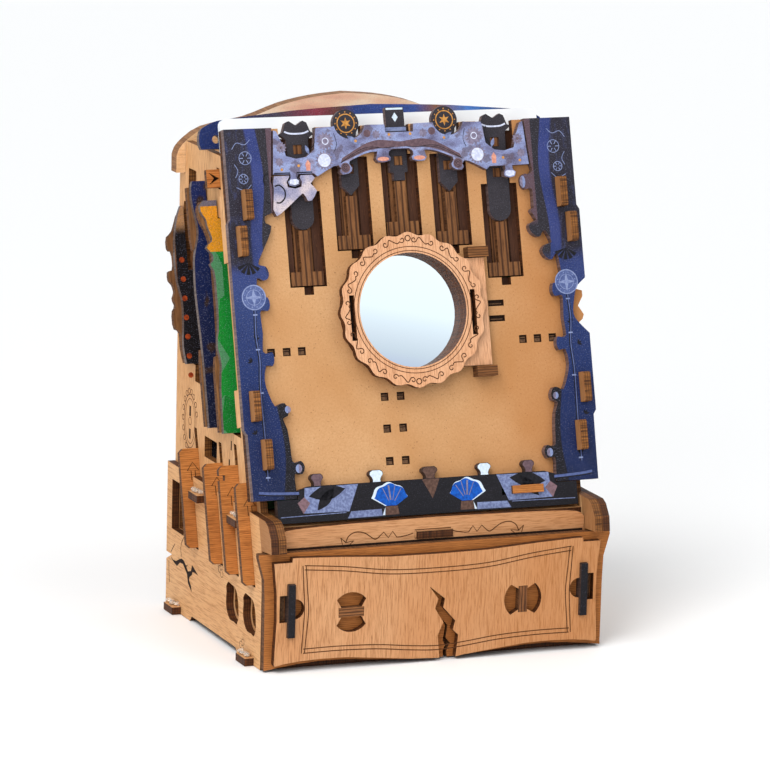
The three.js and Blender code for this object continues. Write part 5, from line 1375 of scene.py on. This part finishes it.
# %% [markdown]
# ## The skirt
# The black strip below the panel carries slanted slate panels with black petals, and small mauve
# diamonds at its ends. Two bright blue shells with a white rim stand on brown feet. The knobs are dusky
# or white, and the middle one is brown, with a wedge below it.

# %% Skirt panels and petals
panels = Slips("leaning", BOARD_LEVEL, UNDER_MM)
petals = Slips("leaning", BOARD_LEVEL, OVER_MM)
diamonds = Slips("leaning", BOARD_LEVEL)
PANEL = ((55.0, 4.2), (31.2, 4.5), (36.0, -6.6), (56.0, -6.3))
LOWER_PANEL = ((35.2, -6.7), (21.6, -6.5), (21.4, -9.4), (36.9, -9.5))
PANEL_LINE = ((66.4, -7.4), (37.4, -7.0))
PETALS = ((53.4, 0.6, 16.5, 172), (50.0, -5.4, 12.0, 132))
DIAMOND = ((55.5, 0.4), (53.0, -2.2), (56.3, -6.4), (58.6, -1.9))
for sign in (-1, 1):
    panels.fill(mirrored(sign, PANEL))
    panels.fill(mirrored(sign, LOWER_PANEL))
    panels.line(mirrored(sign, PANEL_LINE), 0.3)
    for x, y, length, lean in PETALS:
        petals.fill(leaf(sign * x, y, length, length * 0.38, leaning_to(sign, lean)))
    diamonds.fill(mirrored(sign, DIAMOND))
panels.lay("skirt_panels", slate_ink, "box", "black_board")
petals.lay("skirt_petals", black_ink, "box", "black_board")
diamonds.lay("skirt_diamonds", mauve_ink, "box", "black_board")
print("petals:", 2 * len(PETALS))

# %% Skirt shells
SHELL_U, SHELL_FOOT = 17.0, -5.4
SHELL_SWELL = 0.035
RIM_SHIFT = 0.7
RIB_ANGLES, WIDE_RIB = (62, 84, 106, 128), 84
PEDESTAL = ((-3.2, -9.2), (3.2, -9.2), (2.7, -5.6), (-2.7, -5.6))
PEDESTAL_SIDE = ((3.2, -9.2), (4.3, -9.2), (2.9, -6.0))
shells = Slips("leaning", BOARD_LEVEL)
outlines = Slips("leaning", BOARD_LEVEL, UNDER_MM)
ribs = Slips("leaning", BOARD_LEVEL, OVER_MM)
pedestals = Slips("leaning", BOARD_LEVEL)


def shell(foot_u, half_width, height):
    """A scalloped fan standing on its foot."""
    edge = []
    for i in range(25):
        angle = math.radians(158 - 5.67 * i)
        reach = 1 + SHELL_SWELL * math.sin(9 * angle)
        across = foot_u + half_width * reach * math.cos(angle)
        edge.append((across, SHELL_FOOT + height * reach * math.sin(angle)))
    return [(foot_u - 2.2, SHELL_FOOT), *edge, (foot_u + 2.2, SHELL_FOOT)]


for sign in (-1, 1):
    foot_u = sign * SHELL_U
    shells.fill(shell(foot_u, 8.2, 9.0))
    outlines.fill(shell(foot_u + sign * RIM_SHIFT, 8.9, 9.5))
    for degrees in RIB_ANGLES:
        angle = math.radians(leaning_to(sign, degrees))
        start = (foot_u + 2.4 * math.cos(angle), SHELL_FOOT + 2.4 * math.sin(angle))
        end = (foot_u + 7.6 * math.cos(angle), SHELL_FOOT + 8.6 * math.sin(angle))
        ribs.line([start, end], 0.7 if degrees == WIDE_RIB else 0.3)
    pedestals.fill([(foot_u + x, y) for x, y in PEDESTAL])
    outlines.fill([(foot_u + sign * x, y) for x, y in PEDESTAL_SIDE])
outlines.lay("skirt_shell_outlines", white_ink, "box", "black_board")
shells.lay("skirt_shells", blue_ink, "box", "black_board")
ribs.lay("skirt_shell_ribs", grey_ink, "box", "black_board")
pedestals.lay("skirt_pedestals", brown_ink, "box", "black_board")
print("ribs on a shell:", len(RIB_ANGLES))

# %% Skirt knobs and wedge
KNOB_FOOT, KNOB_RISE, KNOB_RIM = 4.8, 5.0, 0.2
KNOB_SHAPE = ((0.62, 0.0), (0.58, 0.2), (0.7, 0.4), (1.0, 0.64), (0.94, 0.84), (0.6, 1.0))
WEDGE = ((-2.6, 4.6), (5.4, 4.6), (3.2, -0.6), (1.6, -3.6), (0.4, -1.0))
KNOB_SETS = {
    "small": (dusky_ink, ((46.1, 5.5), (-49.2, 5.5))),
    "white": (white_ink, ((25.9, 6.2), (-22.8, 6.2))),
    "middle": (brown_ink, ((1.3, 7.0),)),
}


def knob_face(middle, width):
    """The face of a skirt knob, a little inside its cut edge."""
    half = [
        (width / 2 * share - KNOB_RIM, KNOB_FOOT + KNOB_RISE * rise - KNOB_RIM * rise)
        for share, rise in KNOB_SHAPE
    ]
    return [(middle + x, y) for x, y in half] + [(middle - x, y) for x, y in half[::-1]]


for name, (colour, places) in KNOB_SETS.items():
    knobs = Slips("leaning", BOARD_LEVEL)
    for middle, width in places:
        knobs.fill(knob_face(middle, width))
    if name == "middle":
        knobs.fill(WEDGE)
    knobs.lay(f"skirt_knobs_{name}", colour, "box", "black_board")
print("skirt motifs laid")

# %% [markdown]
# ## Engraving on the left wall
# The left wall has a crack that runs in from the rear edge and small flourishes of three bows. The case
# above it has an oval ornament ringed with beads, and short slots.

# %% Crack and flourishes
WALL_LEVEL = 76.0
CRACK = (
    (54.1, 22.6), (52.8, 21.6), (48.9, 20.5), (46.3, 20.0), (42.6, 22.4), (38.8, 22.7), (36.2, 21.1),
    (33.6, 19.5), (32.9, 17.9), (32.2, 15.9), (30.3, 14.6), (27.5, 13.0), (28.4, 15.5), (31.0, 17.5),
    (30.3, 19.0), (27.4, 20.5), (26.8, 22.0), (23.7, 22.3), (19.5, 22.1), (23.8, 23.6), (27.4, 24.9),
    (28.7, 22.0), (32.4, 20.9), (34.5, 22.4), (32.6, 23.9), (35.0, 22.9), (37.6, 24.3), (40.4, 24.7),
    (42.7, 24.0), (47.7, 21.9), (51.5, 21.6),
)
CRACK_LINES = (
    ((54.2, 24.4), (51.6, 27.0), (49.3, 29.1)),
    ((40.9, 25.3), (42.0, 29.0), (41.1, 31.4), (38.1, 34.7)),
    ((56.6, 20.2), (56.4, 15.8), (55.5, 10.7)),
)
FLOURISHES = ((-34.6, 5.2, 3.4), (-8.0, 31.2, 3.6))
crack = Slips("left", WALL_LEVEL)
crack.fill(CRACK)
for line in CRACK_LINES:
    crack.line(line, 0.35)
crack.lay("base_crack", soot_and_shade, "box", "burnt_ply")

flourish = Slips("left", WALL_LEVEL)
for y, z, size in FLOURISHES:
    for turn in (0, 120, 240):
        bow_middle = around(y, z, size * 0.5, turn)
        flourish.line(arc(*bow_middle, size * 0.42, turn - 120, turn + 130, 10), 0.24)
    flourish.fill(circle(y, z, 0.5, 10))
flourish.lay("base_flourishes", burnt_line, "box", "burnt_ply")
print("crack points:", len(CRACK))

# %% Oval ornament and slots
CASE_LEVEL = 72.5
OVAL_Y, OVAL_Z = 42.5, 84.5
OVAL_LINES = ((7.4, 11.6, 0.28), (5.9, 9.8, 0.24))
BEAD_COUNT, BEAD_WIDTH, BEAD_HEIGHT = 18, 8.7, 13.1
SLOTS = (
    (OVAL_Y, OVAL_Z + 4.4, 0.9, 2.2),
    (OVAL_Y, OVAL_Z - 5.6, 0.9, 2.2),
    (-8.2, 84.5, 0.55, 2.0),
    (-6.2, 76.0, 0.7, 2.2),
    (46.6, 68, 0.45, 1.6),
)
ornament = Slips("left", CASE_LEVEL)
for half_width, half_height, width in OVAL_LINES:
    ornament.line(oval(OVAL_Y, OVAL_Z, half_width, half_height, 40), width, closed=True)
ornament.line(circle(OVAL_Y, OVAL_Z, 1.7, 20), 0.24, closed=True)
for y, z in oval(OVAL_Y, OVAL_Z, BEAD_WIDTH, BEAD_HEIGHT, BEAD_COUNT):
    # The lower front quarter has no beads, because a brown slider stands there.
    if y > OVAL_Y or z > OVAL_Z + 4:
        ornament.line(circle(y, z, 1.15, 12), 0.3, closed=True)
ornament.lay("case_ornament", burnt_line, "box", "burnt_ply")
slots = Slips("left", CASE_LEVEL)
for y, z, half, height in SLOTS:
    slots.fill(rectangle(y - half, y + half, z - height, z + height))
slots.lay("case_slots", soot_and_shade, "box", "burnt_ply")
print("slots:", len(SLOTS))

# %% [markdown]
# ## Arrows on the sliders of the left wall
# Each slider stands across the wall, so its wide face looks forward, and the arrow is cut into it.

# %% Arrow marks
ARROW_OFFSETS = {"arrow_one": 80, "arrow_two": 50, "arrow_three": 31, "arrow_four": 11.5}
ARROW_MIDDLE, ARROW_FOOT_Z = -75.6, 62
ARROW = ((-0.9, 0), (0.9, 0), (0.9, 4.0), (2.6, 4.0), (0, 7.6), (-2.6, 4.0), (-0.9, 4.0))
for number, (body, offset) in enumerate(ARROW_OFFSETS.items(), 1):
    level = -offset * math.cos(TILT)
    foot = (ARROW_FOOT_Z - PANEL_FOOT.z - level * math.sin(TILT)) / math.cos(TILT)
    arrow = Slips("leaning", level)
    arrow.line([(ARROW_MIDDLE + x, foot + y) for x, y in ARROW], 0.3, closed=True)
    arrow.lay(f"arrow_mark_{number}", soot_and_shade, body, "burnt_ply")
print("arrows:", len(ARROW_OFFSETS))

# %% [markdown]
# ## Prints inside
# A row of small orange lamps shows on the rear picture board through the side opening, and stars are
# strewn over the night-blue arch.

# %% Lamps and stars
REAR_PICTURE, FRONT_PICTURE = -73 * math.cos(TILT), -30 * math.cos(TILT)
LAMP_COUNT, LAMP_PITCH = 7, 8.2
ARCH_STARS = ((-38, 158.8, 0.9), (-12, 162, 1.1), (20, 161.2, 0.9), (45, 157.4, 1.0), (68, 154.2, 0.9))
lamps = Slips("leaning", REAR_PICTURE)
for sign in (-1, 1):
    for i in range(LAMP_COUNT):
        lamps.fill(circle(sign * 75.6, 58 + LAMP_PITCH * i, 1.2, 14))
lamps.lay("rear_picture_lamps", orange_ink, "box", "printed_red")
stars = Slips("leaning", FRONT_PICTURE)
for x, y, size in ARCH_STARS:
    stars.fill(star(x, y, size, size * 0.42, 5))
stars.lay("arch_stars", gold_ink, "box", "printed_green")
print("lamps:", 2 * LAMP_COUNT, "stars:", len(ARCH_STARS))

# %% [markdown]
# ## Beads of glue
# The tabs are fixed with small beads of clear hot glue. A bead starts as a ball that is pressed flat,
# pulled long and made uneven with noise, so no two are alike.

# %% Glue beads
TAB_PLACES = ((-43, 4.1), (46, 4.1), (-29.2, 59.7), (17.5, 59.7))
BEADS_PER_TAB, BEAD_PITCH, BEAD_X = 4, 2.2, -77.6
UNEVEN, LUMPS_PER_RADIUS = 0.22, 1.7
random.seed(7)
glue_mesh = bmesh.new()
for y, z in TAB_PLACES:
    for i in range(BEADS_PER_TAB):
        bead_x = BEAD_X + random.uniform(-0.7, 0.7)
        bead_y = y + BEAD_PITCH * (i - 1) + random.uniform(-0.4, 0.4)
        centre = Vector((bead_x, bead_y, z))
        ball = bmesh.ops.create_icosphere(glue_mesh, subdivisions=3, radius=1.0)
        size = Vector((random.uniform(1.0, 1.4), random.uniform(1.3, 1.9), random.uniform(0.8, 1.1)))
        for vert in ball["verts"]:
            lump = 1 + UNEVEN * noise.noise(vert.co * LUMPS_PER_RADIUS + centre)
            vert.co = (centre + Vector(a * b * lump for a, b in zip(vert.co, size))) * MM
for face in glue_mesh.faces:
    face.smooth = True
place_piece("glue_beads", glue_mesh, glue, "box")
print("glue beads:", BEADS_PER_TAB * len(TAB_PLACES))
